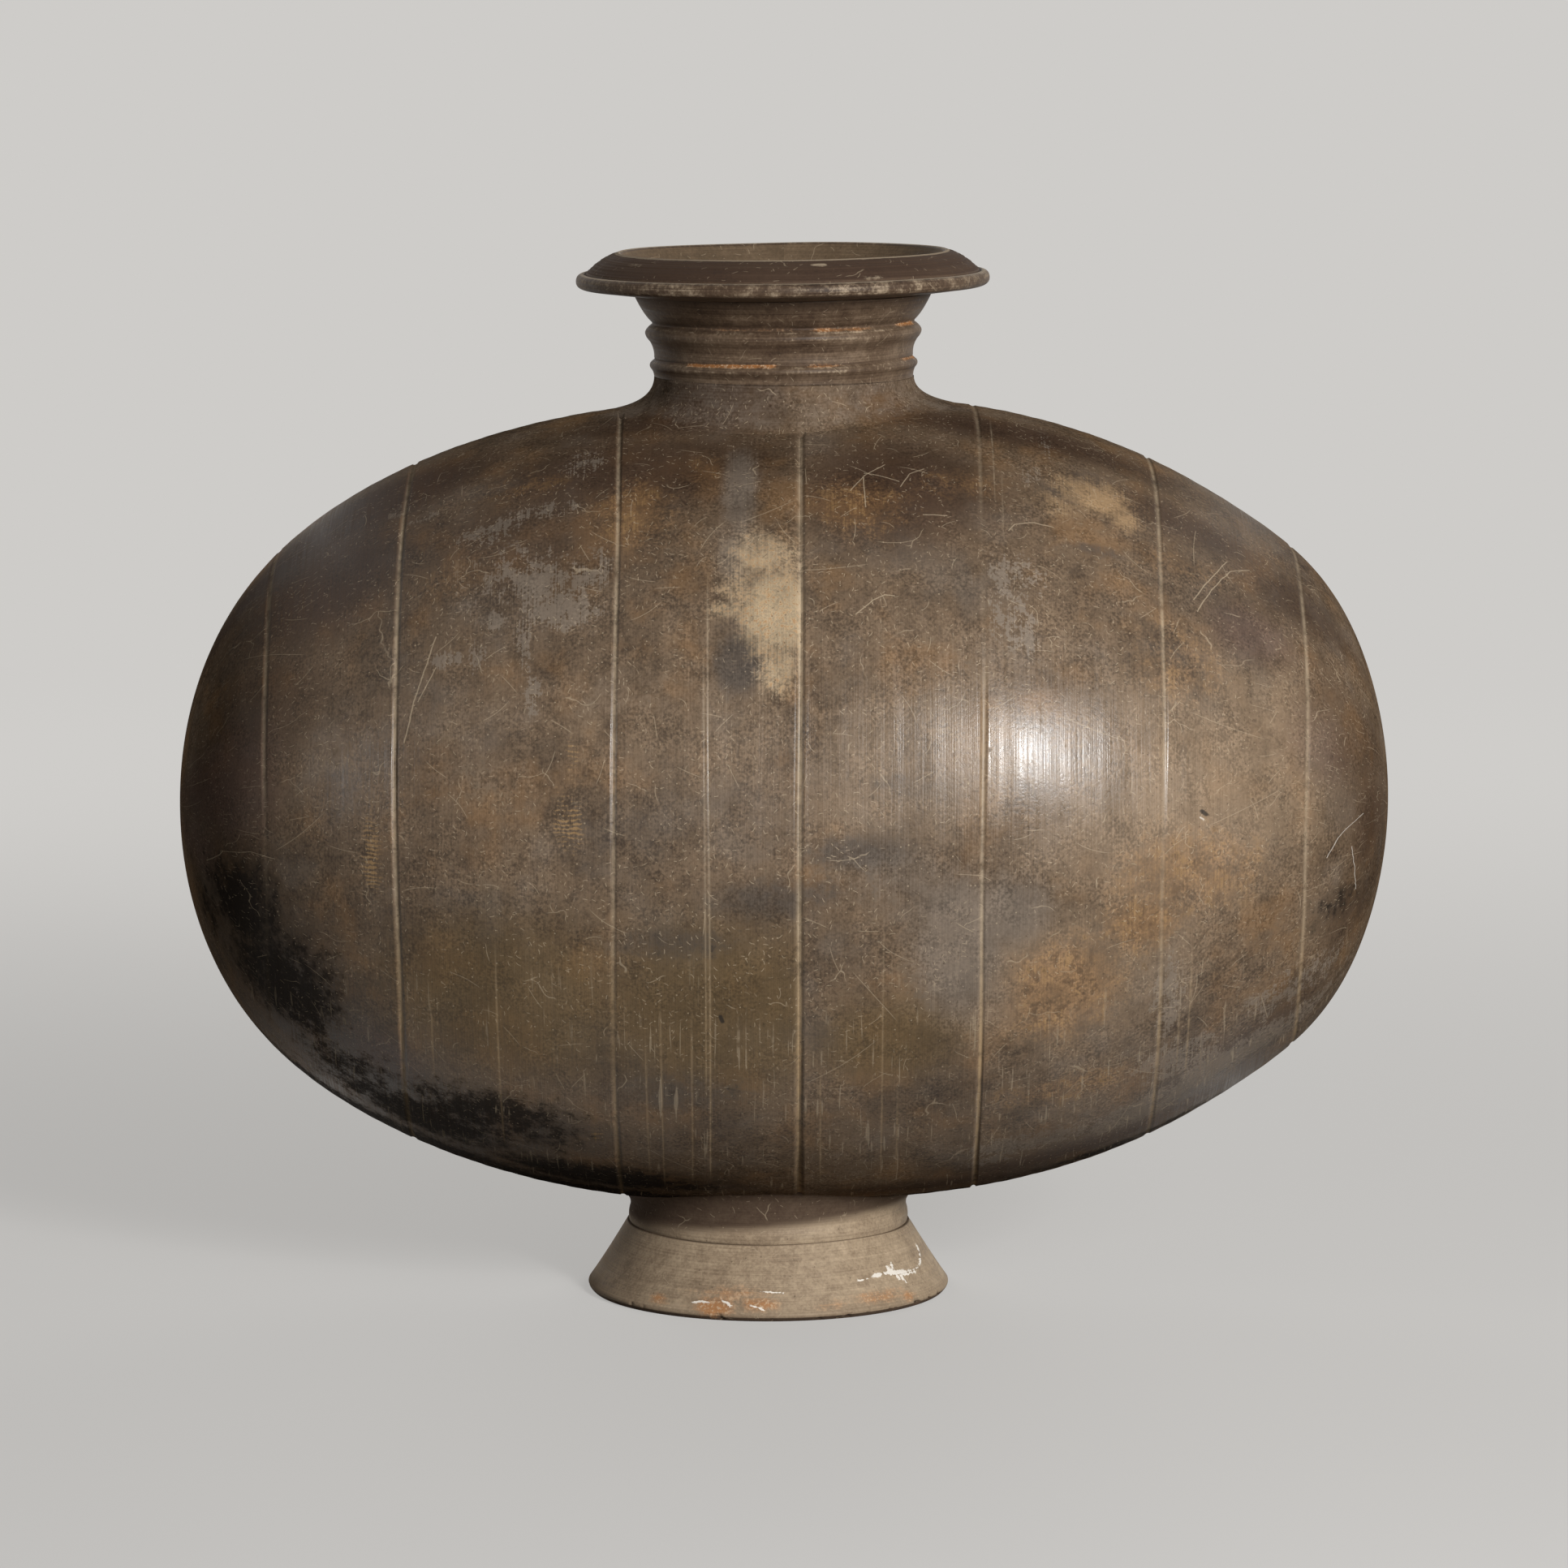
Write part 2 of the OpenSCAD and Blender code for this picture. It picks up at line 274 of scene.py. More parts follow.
# Lying egg of the body. The seam's place and the lengths come from the frame.
leftLow, leftHigh = boxOf("left_body_half")
rightLow, rightHigh = boxOf("right_body_half")
seamRadius = 160.0
jarBody = {
    "seamX": leftHigh[0],
    "seamRadius": seamRadius,
    "axisHeight": leftLow[2] + seamRadius,
    "wall": 8.0,
    "neckHole": 51.4,
    "axisStep": 1.2,  # the two bowls were joined this much above and below the common axis
    "axisBlend": 45.0,  # and their axes run into each other over about this length
    "columns": 324,
    "rowStep": 2.1,
    "evenShare": 0.86,  # share of each half whose rows are evenly spaced
    "tipRows": 34,
    "innerStep": 7.0,
    "innerEven": 0.85,  # the same share for the inside
    "innerTip": (1.1, 12),  # angle from which the inside's end is closed, and by how many rows
    "swell": 0.45,  # how far the thrown wall wavers in and out
    "swellLengths": (70, 190),
    "swellSeed": 4,
    "rings": 0.05,  # height of the throwing rings
    "lip": 0.06,  # height of the lips of a groove
    "lipPlace": (0.62, 0.16),  # place and half width of a lip, in widths of the groove
    "swayReach": 7.0,  # how far beside a groove the rows follow its wander
    "hairDepth": 0.1,  # depth of a hair scratch
    "hairWide": 0.28,  # its half width, and that of its mark
    "hairMark": 0.34,
    "hairReach": 4.0,
    "hairEnds": 9,  # degrees over which it runs out
    "sootShadeEnds": (0.93, 0.985),  # shares of the length between which the soot and painted shade end, so no wedge forms at the tip
}
leftHalf = {
    "side": -1,
    "length": leftHigh[0] - leftLow[0],
    "lengthPower": 2.48, "roundPower": 2.08, "blunt": 0.054, "reach": 48.0,
    # place from the seam, width, depth, wander, then how clear it is at each turn above the front line
    "grooves": [
        (0.0, 3.2, 1.0, 0.5, [(-180, 0.8), (-70, 0.9), (-30, 1.0), (40, 1.0), (80, 0.8), (180, 0.8)]),
        (70.0, 2.4, 0.75, 0.9,
         [(-120, 0.5), (-60, 0.5), (-42, 0.6), (-30, 0.2), (-12, 0.55), (20, 0.8), (75, 1.0), (180, 0.5)]),
        (153.0, 2.5, 0.85, 1.0, [(-120, 0.5), (-60, 0.45), (-38, 0.8), (20, 1.0), (60, 0.9), (130, 0.6)]),
        (206.0, 2.3, 0.7, 1.0, [(-100, 0.1), (-30, 0.05), (5, 0.15), (18, 0.7), (50, 0.8), (110, 0.5)]),
    ],
    # hair scratches of the turning: place from the seam, lowest and highest turn, strength
    "scratches": [
        (34.6, -62, 42, 0.9), (36.2, -40, 30, 0.7), (41.5, -64, -20, 0.6), (53.0, -66, -18, 0.6),
        (58.5, -62, -25, 0.5), (115.0, -58, -12, 0.6), (141.0, -45, -22, 0.5),
    ],
    # stains, wear, painted light and painted shade: place along the body, turn above the front line, half
    # width, half height, strength
    "patches": {
        # painted shade: the top, the left end, underneath and behind are darkened
        "umber": [(-100, 52, 50, 32, 0.55), (-60, 62, 60, 30, 0.8), (-170, 72, 56, 28, 1.1),
                  (-120, 20, 60, 34, 0.22), (-30, 76, 60, 18, 0.8), (-178, 55, 34, 45, 0.95),
                  (-226, 5, 18, 80, 0.42), (-200, 30, 25, 40, 0.6), (-70, 48, 30, 20, 0.4),
                  (-120, 150, 60, 40, 0.6), (-215, 180, 24, 70, 0.8)],
        # painted light on the front
        "glow": [(-30, 16, 60, 30, 0.3), (-60, -5, 50, 30, 0.2)],
        "pale": [(-3, 34, 13, 17, 1.0), (-8, 43, 15, 13, 0.52), (-21, 34.5, 8, 4, 0.6), (-2, 25.5, 8, 12, 0.62),
                 (-14, 38, 12, 9, 0.5), (-90, 190, 16, 9, 0.55), (-82, 183, 7, 14, 0.6)],
        "haze": [(-17, 56, 7, 26, 0.95), (-20, 43, 6, 13, 0.8), (-60, 22, 24, 14, 0.35),
                 (-30, 165, 14, 26, 0.8), (-62, 84, 14, 10, 0.6), (-110, 12, 30, 12, 0.3)],
        "slate": [(-17, 26.5, 10, 13, 1.0), (-5, -6, 25, 9, 0.75), (-42, -12, 30, 7, 0.6),
                  (-40, -37, 30, 14, 0.6), (-22, 8, 14, 6, 0.4), (-100, -8, 24, 6, 0.3),
                  (-70, 240, 40, 10, 0.6)],
        "grey": [(-91, 41, 13, 9, 1.0), (-84, 36, 13, 8, 1.0), (-69, 42, 4, 8, 0.9), (-78, 41, 9, 8, 0.85),
                 (-110, 36, 5, 6, 0.85), (-112, 52, 11, 6, 0.9), (-92, 54.5, 14, 5, 0.62),
                 (-128, 30, 6, 3, 0.95), (-116, 30, 2.6, 9, 0.85), (-99, 31, 2.6, 12, 0.95),
                 (-95, 23, 3.2, 12, 0.7), (-101, 42, 26, 16, 0.5), (-150, 65, 5, 5, 0.6), (-139, 60, 6, 3, 0.6),
                 (-77, 65, 8, 8, 0.55), (-62, 150, 18, 15, 0.9), (-110, 130, 22, 12, 0.7)],
        # soot, and painted shade along the underside and at the left end
        "soot": [(-208, -19, 16, 34, 0.9), (-193, -33, 22, 36, 0.95), (-110, -49, 36, 18, 0.9),
                 (-140, -56, 36, 18, 0.95), (-68, -63, 40, 14, 0.95), (-150, -72, 60, 18, 1.0),
                 (-90, -74, 70, 16, 1.0), (-20, -74, 40, 10, 0.7), (-165, -50, 26, 20, 0.6),
                 (-230, -30, 12, 30, 0.7), (-130, 215, 30, 24, 0.8), (-55, 254, 60, 12, 0.8)],
        "olive": [(-104, -23, 48, 38, 0.9), (-26, -23, 48, 38, 0.9), (-110, 200, 45, 40, 0.8)],
        "rust": [(-58, 52, 16, 18, 0.7), (-28, 60, 10, 14, 0.5), (-100, 62, 20, 10, 0.4),
                 (-124, 44, 12, 12, 0.5), (-170, 160, 20, 24, 0.7)],
        "plum": [(-215, 12, 24, 45, 0.8), (-182, 46, 28, 30, 0.25), (-155, -41, 18, 20, 0.75),
                 (-230, -10, 15, 30, 0.6), (-200, 150, 20, 30, 0.6)],
        "ripple": [(-157, -2, 4, 22, 1.0), (-81, 5, 7, 14, 1.0), (-80, 14, 4, 9, 0.8), (-72, -48, 4, 9, 0.8),
                   (-75, -17, 2.5, 4, 0.8)],
    },
    # drawn one by one: half width, then places along the body and turns above the front line
    "singles": [
        (0.36, [(-132.4, 33.7), (-140.4, 23.2), (-144.0, 16.7)]), (0.28, [(-132.1, 28.5), (-138.8, 23.1)]),
        (0.26, [(-224.7, -13.5), (-217.2, -7.1), (-205.0, -4.9), (-195.6, -5.2)]),
    ],
    "hollows": [(1.2, [(-24.0, -23.3), (-23.2, -24.2)])],
    "cracks": [],
}
rightHalf = {
    "side": 1,
    "length": rightHigh[0] - rightLow[0],
    "lengthPower": 2.36, "roundPower": 1.98, "blunt": 0.156, "reach": 39.0,
    "grooves": [
        (0.0, 3.2, 1.0, 0.5, [(-180, 0.8), (-70, 0.9), (-30, 1.0), (40, 1.0), (80, 0.8), (180, 0.8)]),
        (69.0, 2.4, 0.8, 0.9,
         [(-120, 0.6), (-60, 0.9), (10, 0.9), (20, 0.6), (30, 0.08), (50, 0.1), (58, 0.4), (80, 0.45),
          (180, 0.5)]),
        (138.0, 2.4, 0.75, 1.0,
         [(-120, 0.4), (-60, 0.5), (-20, 0.6), (5, 0.3), (25, 0.75), (60, 0.9), (130, 0.6)]),
        (195.0, 2.3, 0.75, 1.0, [(-120, 0.4), (-45, 0.7), (0, 0.7), (45, 0.8), (110, 0.5)]),
    ],
    "scratches": [
        (74.5, 52, 82, 0.8), (78.0, 44, 66, 0.5), (8.0, -64, -30, 0.7), (32.0, -62, -8, 0.6),
        (38.0, -60, -34, 0.5), (150.0, -52, -18, 0.7), (146.0, -50, -26, 0.5),
    ],
    "patches": {
        # painted shade: the top, the right end and underneath are darkened
        "umber": [(120, -64, 60, 13, 0.75), (60, -68, 40, 12, 0.7), (185, -47, 30, 12, 0.6),
                  (42, 56, 40, 34, 0.9), (200, 55, 30, 24, 0.6), (222, 20, 18, 60, 0.6),
                  (223, -30, 16, 40, 0.5), (90, 76, 60, 16, 0.85), (152, 62, 40, 16, 0.7),
                  (216, 30, 20, 40, 0.5), (229, 0, 10, 60, 0.7), (110, 140, 60, 40, 0.6),
                  (222, 180, 16, 60, 0.7)],
        # painted light on the front and the right side, where the key lamp falls
        "glow": [(150, 8, 60, 50, 0.9), (110, -20, 50, 34, 0.7), (180, 20, 36, 40, 0.6), (60, 12, 50, 30, 0.75),
                 (40, 10, 40, 34, 0.3)],
        "tan": [(119, 61, 17, 13, 0.72), (123, 60, 9, 8, 1.0), (104, 57, 10, 10, 0.5), (131, 57, 6, 8, 0.8),
                (80, 130, 22, 9, 0.55), (92, 134, 8, 10, 0.6)],
        "grey": [(101.8, 74, 2.5, 14, 0.7), (97, 62, 5, 8, 0.5), (86, 40, 13, 13, 0.6), (88, 33, 8, 10, 0.7),
                 (93, 30, 3, 7, 1.0), (98, -55, 24, 8, 1.15), (137, -56, 22, 10, 1.15),
                 (176, -52, 36, 14, 1.15), (147, -29, 6, 24, 0.85), (150, -43, 14, 14, 0.95),
                 (198, -40, 18, 16, 0.8), (75, -60, 12, 7, 0.7), (150, 140, 20, 16, 0.9),
                 (110, 225, 22, 12, 0.9)],
        "plum": [(179, 40, 18, 20, 0.75), (205, 20, 16, 30, 0.5), (185, 160, 20, 24, 0.6)],
        "haze": [(66, -13.6, 16, 30, 1.15), (86, -9, 16, 16, 0.95), (78, -22, 12, 14, 0.6),
                 (47, -3, 22, 12, 0.6), (82, -24, 10, 12, 0.5), (40, 170, 16, 22, 0.8), (62, 84, 14, 8, 0.6)],
        "rust": [(106, -22, 24, 24, 0.95), (135, -13, 16, 14, 0.8), (155, -5, 30, 22, 0.7),
                 (150, 30, 20, 22, 0.55), (30, 52, 20, 18, 0.6), (66, 58, 16, 12, 0.45),
                 (110, -42, 30, 10, 0.6), (150, 50, 20, 10, 0.5), (120, 180, 28, 24, 0.8)],
        # soot, and painted shade underneath
        "soot": [(130, -72, 44, 9, 0.8), (60, -76, 40, 8, 0.6), (215, -22, 9, 16, 0.5), (60, 240, 34, 14, 0.8)],
        "olive": [(40, -28, 28, 20, 0.85), (70, 20, 30, 20, 0.2), (60, 200, 35, 30, 0.8)],
        "slate": [(28, 0, 24, 8, 0.75), (46, 9, 20, 8, 0.5), (10, -5, 20, 8, 0.6), (60, 26, 14, 6, 0.3),
                  (120, 48, 12, 4, 0.7)],
    },
    "singles": [
        (0.28, [(157.2, 43.8), (171.5, 56.8)]),
        (0.28, [(158.3, 41.6), (164.9, 48.0), (172.6, 54.4), (180.3, 57.7)]),
        (0.3, [(27.3, 33.5), (33.5, 35.7), (38.1, 36.6), (41.8, 36.4)]),
        (0.28, [(30.9, 58.9), (37.1, 58.4), (44.2, 57.5)]),
        (0.28, [(25.5, 55.2), (30.8, 58.3), (38.7, 61.0)]), (0.28, [(30.5, 57.9), (31.0, 51.9)]),
        (0.28, [(44.8, 56.4), (48.0, 59.2), (53.7, 60.6)]), (0.32, [(53.3, 50.8), (62.0, 50.9)]),
        (0.34, [(85.9, 49.3), (88.1, 50.6), (96.0, 51.6), (102.8, 51.3)]),
    ],
    "hollows": [(1.4, [(158.8, 5.5), (160.3, 4.9)])],
    "cracks": [(0.26, [(209.4, -6.8), (214.0, -2.6), (218.6, -0.1), (225.2, 2.8)]),
               (0.18, [(220.0, -6.3), (221.4, -12.5), (222.7, -21.3)]), (0.5, [(158.0, 4.4), (159.4, 4.0)])],
}
markNames = ["pale", "tan", "haze", "slate", "grey", "soot", "olive", "rust", "plum", "ripple", "glow", "umber"]


# Egg radius at d from the seam: a superellipse, swollen near its blunt end by a bell curve
def eggRadius(half, d, length, radius):
    arch = np.clip(1 - (d / length) ** half["lengthPower"], 0, None) ** (1 / half["roundPower"])
    return radius * arch * (1 + half["blunt"] * bell(d, length, half["reach"]))


# Height of the axis along the body: the bowls meet a little out of line, eased over the seam
def axisAt(x):
    share = np.tanh((x - jarBody["seamX"]) / jarBody["axisBlend"])
    return jarBody["axisHeight"] + jarBody["axisStep"] * share


# Wavering of the thrown wall: long soft lumps, smaller where the egg is thinner
def wallWaver(points, radius):
    small = radius / jarBody["seamRadius"]
    return small * jarBody["swell"] * 0.5 * lumps(points, jarBody["swellSeed"], *jarBody["swellLengths"])


# Half the angle that the neck's hole takes from the circle of a given radius, at each place along the body
def holeAngle(x, radius):
    inHole = np.sqrt(np.clip(jarBody["neckHole"] ** 2 - x ** 2, 0, None))
    return np.arcsin(np.clip(inHole / np.maximum(radius, 1e-6), 0, 1))[:, None]


# Soft patches: each falls off as exp(-0.7 q^1.3), where q is the squared distance from its middle, counted in
# half widths and half heights; the strongest counts
def patchMark(patches, x, turn):
    mask = np.zeros(x.shape)
    for atX, atTurn, wide, tall, strength in patches:
        across = (x - atX) / wide
        around = np.radians((turn - atTurn + 180) % 360 - 180) * jarBody["seamRadius"] / tall
        mask = np.maximum(mask, strength * np.exp(-0.7 * (across ** 2 + around ** 2) ** 1.3))
    return mask


# Rows along the body: even steps, closer towards the tip, and close sets at each groove and scratch
def rowPlaces(half):
    length, power, even = half["length"], half["lengthPower"], jarBody["evenShare"]
    tip = np.sin(np.linspace(math.asin(even ** (power / 2)), math.pi / 2, jarBody["tipRows"])) ** (2 / power)
    rows = np.r_[np.arange(0, even * length, jarBody["rowStep"]), length * tip]
    grooveSet = np.array([-1.15, -0.9, -0.72, -0.55, -0.4, -0.25, -0.1, 0.1, 0.25, 0.4, 0.55, 0.72, 0.9, 1.15])
    hairSet = np.array([-0.75, -0.4, -0.2, 0.0, 0.2, 0.4, 0.75])
    for at, width, *rest in half["grooves"]:
        rows = np.r_[rows[np.abs(rows - at) > 1.3 * width], at + grooveSet * width]
    for at, *rest in half["scratches"]:
        rows = np.r_[rows[np.abs(rows - at) > 0.9], at + hairSet]
    rows = np.unique(np.round(rows[(rows >= 0) & (rows <= length)], 3))
    return np.unique(np.r_[0.0, rows[np.r_[True, np.diff(rows) > 0.06]], length])


# Grooves and hair scratches on the grid of a half: where each point lies along the body once its row follows
# the wander of a groove, how deep it is cut, and how strongly it is marked as cut
def cutLines(half, rows, t, turn):
    k = jarBody
    place = np.repeat((k["seamX"] + half["side"] * rows)[:, None], t.shape[1], 1)
    groove, dip = np.zeros_like(t), np.zeros_like(t)
    for at, width, depth, wander, shown in half["grooves"]:
        near = rows[:, None] - at
        sway = 0.5 * np.sin(2 * t + at) + 0.35 * np.sin(3 * t - 2 * at) + 0.2 * np.sin(7 * t + 3 * at)
        place = place + wander * sway * np.exp(-(near / k["swayReach"]) ** 4)
        clear = np.interp(turn, *zip(*shown), period=360)
        clear = clear * (1 + 0.22 * np.sin(11 * t + at) * np.sin(5 * t - at))
        cut = np.clip(1 - (2 * near / width) ** 2, 0, 1) ** 0.8
        lipAt, lipWide = [share * width for share in k["lipPlace"]]
        dip = dip + clear * (depth * cut - k["lip"] * bell(np.abs(near), lipAt, lipWide))
        groove = np.maximum(groove, clear * bell(near, 0, width / 3.5))
    for at, low, high, strength in half["scratches"]:
        near = rows[:, None] - at
        place = place + 0.5 * np.sin(2 * t + at) * np.exp(-(near / k["hairReach"]) ** 4)
        shown = strength * ease(turn, low, low + k["hairEnds"]) * (1 - ease(turn, high - k["hairEnds"], high))
        dip = dip + k["hairDepth"] * shown * bell(near, 0, k["hairWide"])
        groove = np.maximum(groove, 0.62 * shown * bell(near, 0, k["hairMark"]))
    return place, dip, groove


# Inside of a half: the same egg, smaller by the wall; it keeps the outer rows that the neck's hole cuts open,
# whose number is given too, and has its own rows beyond them
def innerBowl(half, rows, gap, wayRound):
    k, wall, power = jarBody, jarBody["wall"], half["lengthPower"]
    length = half["length"] - wall
    opened = rows[gap[:, 0] > 0]
    closing = rows[len(opened)]
    deeper = np.arange(closing + k["innerStep"], k["innerEven"] * length, k["innerStep"])
    first, count = k["innerTip"]
    end = length * np.sin(np.linspace(first, math.pi / 2, count)) ** (2 / power)
    innerRows = np.r_[opened, closing, deeper, end[end > deeper[-1] + 2]]
    x = k["seamX"] + half["side"] * innerRows
    radius = eggRadius(half, innerRows, length, k["seamRadius"] - wall)
    innerGap = holeAngle(x, radius)
    t = innerGap + wayRound * (2 * math.pi - 2 * innerGap)
    x, radius = np.repeat(x[:, None], t.shape[1], 1), radius[:, None]
    return np.stack([x, -radius * np.sin(t), axisAt(x) + radius * np.cos(t)], -1), len(opened)


# Half of the body: its egg turned round the long axis, cut open round the neck, with grooves, scratches,
# a wavering wall and faint throwing rings; an inner wall and the rims between the two close it
def bodyHalf(name, node, half, material):
    seamX, seamR, side = jarBody["seamX"], jarBody["seamRadius"], half["side"]
    length, columns = half["length"], jarBody["columns"]
    rows = rowPlaces(half)
    gap = holeAngle(seamX + side * rows, eggRadius(half, rows, length, seamR))
    wayRound = np.linspace(0, 1, columns + 1)[None, :]
    t = gap + wayRound * (2 * math.pi - 2 * gap)  # from the top over the front and round
    turn = (90 - np.degrees(t) + 180) % 360 - 180
    place, dip, groove = cutLines(half, rows, t, turn)

    radius = eggRadius(half, np.clip(side * (place - seamX), 0, length), length, seamR)
    smooth = np.stack([place, -radius * np.sin(t), radius * np.cos(t)], -1)
    rings = np.sin(place * 0.9 + 2 * np.sin(place * 0.05)) + np.sin(place * 0.37)
    rings = rings * jarBody["rings"] * radius / seamR
    radius = radius + wallWaver(smooth, radius) + rings
    radius = radius - np.minimum(dip, 0.3 * radius)
    outer = np.stack([place, -radius * np.sin(t), axisAt(place) + radius * np.cos(t)], -1)
    inner, opened = innerBowl(half, rows, gap, wayRound)

    out = np.arange(outer[..., 0].size).reshape(outer.shape[:2])
    into = out.size + np.arange(inner[..., 0].size).reshape(inner.shape[:2])
    rim = opened + 1
    quads = np.vstack([
        gridQuads(out), gridQuads(into)[:, ::-1],
        gridQuads(np.stack([into[0], out[0]])),
        gridQuads(np.stack([out[:rim, 0], into[:rim, 0]])),
        gridQuads(np.stack([into[:rim, -1], out[:rim, -1]])),
    ])
    points = np.vstack([outer.reshape(-1, 3), inner.reshape(-1, 3)])
    marks = {kind: np.zeros(len(points)) for kind in markNames}
    for kind, patches in half["patches"].items():
        marks[kind][:out.size] = patchMark(patches, place, turn).ravel()
    marks["soot"][:out.size] *= np.repeat(1 - ease(rows / length, *jarBody["sootShadeEnds"]), columns + 1)
    marks["groove"] = np.r_[groove.ravel(), np.zeros(into.size)]
    marks["inside"] = np.r_[np.zeros(out.size), np.ones(into.size)]
    makePiece(name, node, points, quads, marks, material)


# Colours of the clay, its stains and its wear as seen under plain light, and the colours that paint light and
# shade onto it
clayColours = {
    "deep": (64, 50, 39), "brown": (89, 73, 57), "warm": (105, 87, 69), "light": (125, 107, 86),
    "pale": (184, 163, 132), "tan": (166, 137, 102), "haze": (114, 103, 92), "slate": (66, 61, 57),
    # the soot colour also paints shade
    "grey": (120, 109, 97), "soot": (30, 26, 23), "olive": (97, 78, 50), "rust": (140, 104, 66),
    "plum": (92, 73, 66), "dust": (180, 162, 136), "ochre": (172, 138, 92), "inside": (122, 104, 80),
    # the pale colour of bare clay is wear and also painted light on the neck's ledges; the glow colour is
    # painted light
    "iron": (170, 112, 60), "lime": (228, 220, 208), "bare": (196, 177, 150), "glow": (146, 125, 102),
    # a dark brown that paints shade
    "umber": (58, 42, 33),
}
paints = {kind: tone(*rgb) for kind, rgb in clayColours.items()}
bodyClay = {"gloss": 0.27, "specular": 0.29}
filletClay = {"gloss": 0.44, "specular": 0.2}
# Where the burnish goes: between these distances from the axis in height, and from the middle in length, in
# metres; then how matt the clay is there and under the soot and painted shade
dullClay = {"rise": (0.085, 0.15), "reach": (0.15, 0.23), "matt": 0.95, "sootShadeMatt": 0.72}
# Stains, painted light and painted shade in the order in which they are laid: the noise that breaks their soft
# edge and how strongly, where the mark starts to show and where it is full, and how much of the clay it then
# covers
bodyStains = {
    # painted light
    "glow": ("broken", 0.6, 0.0, 1.0, 0.6),
    # painted shade
    "umber": ("broken", 0.9, 0.05, 1.0, 0.84),
    "olive": ("broken", 0.7, 0.1, 0.85, 0.68),
    "rust": ("broken", 1.9, 0.2, 1.0, 0.5),
    "plum": ("broken", 0.9, 0.15, 0.9, 0.6),
    "slate": ("broken", 2.0, 0.25, 0.85, 0.7),
    # soot, and painted shade underneath
    "soot": ("broken", 3.4, 0.1, 0.85, 0.94),
    "haze": ("flaky", 1.6, 0.2, 0.95, 0.68),
    "grey": ("flaky", 6.585, 0.5488, 0.6829, 0.6),
    "tan": ("flaky", 2.0, 0.15, 0.9, 0.7),
    "pale": ("flaky", 1.5, 0.14, 0.8, 0.74),
}
# Scratches in millimetres: shift of their pattern, size of its cells, half length, half width, share of the
# cells that have one, and bow
bodyScratches = {
    "ticks": ((0.0, 0.0, 0.0), 3.4, 1.35, 0.2, 0.6, 3.0),
    "hairs": ((0.31, 0.17, 0.0), 19, 8.0, 0.22, 0.5, 12.0),
    "longHairs": ((0.53, 0.71, 0.0), 52, 22, 0.24, 0.32, 16.0),
    "nicks": ((0.13, 0.47, 0.0), 9.0, 2.4, 0.24, 0.3, 4.0),
}
thrownScratches = {
    "ticks": ((0.0, 0.0, 0.0), 5.0, 1.7, 0.2, 0.4, 3.0),
    "hairs": ((0.31, 0.17, 0.0), 15, 6.0, 0.18, 0.3, 12.0),
}


# New material with its shader; returns a loose wire to build from and the shader node
def newFinish(name, specular):
    material = bpy.data.materials.new(name)
    material.use_nodes = True
    tree = material.node_tree
    shader = tree.nodes["Principled BSDF"]
    shader.inputs["Specular IOR Level"].default_value = specular
    return material, Wire(tree), shader


# Links the finished colour, roughness and height to the shader; the height goes through a Bump node, and
# where a matt share is given, that much of the shader gives way to one without shine
def closeFinish(wire, shader, colour, rough, height, strength, reach, matt=None):
    tree = wire.tree
    tree.links.new(colour.socket, shader.inputs["Base Color"])
    tree.links.new(rough.socket, shader.inputs["Roughness"])
    sockets = {"Strength": strength, "Distance": reach, "Height": height}
    bump = wire.node("ShaderNodeBump", None, sockets, "Normal")
    tree.links.new(bump.socket, shader.inputs["Normal"])
    if matt is not None:
        sockets = {"Base Color": colour, "Normal": bump, "Roughness": 0.9, "Specular IOR Level": 0.0}
        plain = wire.node("ShaderNodeBsdfPrincipled", None, sockets, "BSDF")
        both = wire.node("ShaderNodeMixShader", None, {0: matt, 1: Wire(tree, shader.outputs[0]), 2: plain})
        tree.links.new(both.socket, tree.nodes["Material Output"].inputs["Surface"])


# Flat place on the body's skin in metres: along the long axis, then round it from the front line
def bodySkin(place):
    x = place.node("ShaderNodeSeparateXYZ", None, {0: place}, "X")
    up = x.outlet("Z") - jarBody["axisHeight"] * mm
    angle = x.maths("ARCTAN2", up, -1.0 * x.outlet("Y"))
    return place.node("ShaderNodeCombineXYZ", None, {0: x, 1: angle * (jarBody["seamRadius"] * mm)})


# Flat place on a thrown piece in metres: along its profile, then round its upright axis
def thrownSkin(place, atX, radius=62.0):
    x = place.node("ShaderNodeSeparateXYZ", None, {0: place}, "X")
    angle = x.maths("ARCTAN2", x - atX * mm, -1.0 * x.outlet("Y"))
    return place.node("ShaderNodeCombineXYZ", None, {0: place.mark("along"), 1: angle * (radius * mm)})


# Thin wandering roots: where a warped flat cell pattern's edges run, kept only inside some blots
def rootLines(skin, size, thin, kept):
    push = skin.waver(0.45 * size, 0.25 * size, True)
    settings = {"feature": "DISTANCE_TO_EDGE", "voronoi_dimensions": "2D"}
    edge = push.node("ShaderNodeTexVoronoi", settings, {"Vector": push, "Scale": 1 / (size * mm)}, "Distance")
    return edge.fade(thin / size, 0.3 * thin / size) * skin.blots(0.6 * size, 1.0).fade(kept, kept + 0.06)


# Cells of a flat pattern: the way from each cell's middle, and three dice that each cell throws
def cellDice(skin, size):
    sockets = {"Vector": skin, "Scale": 1 / (size * mm)}
    cells = skin.node("ShaderNodeTexVoronoi", {"voronoi_dimensions": "2D"}, sockets, "Color")
    away = skin.node("ShaderNodeVectorMath", {"operation": "SUBTRACT"}, {0: skin, 1: cells.outlet("Position")})
    x = away.node("ShaderNodeSeparateXYZ", None, {0: away}, "X")
    red = cells.node("ShaderNodeSeparateColor", None, {0: cells}, "Red")
    return x, x.outlet("Y"), red, red.outlet("Green"), red.outlet("Blue")


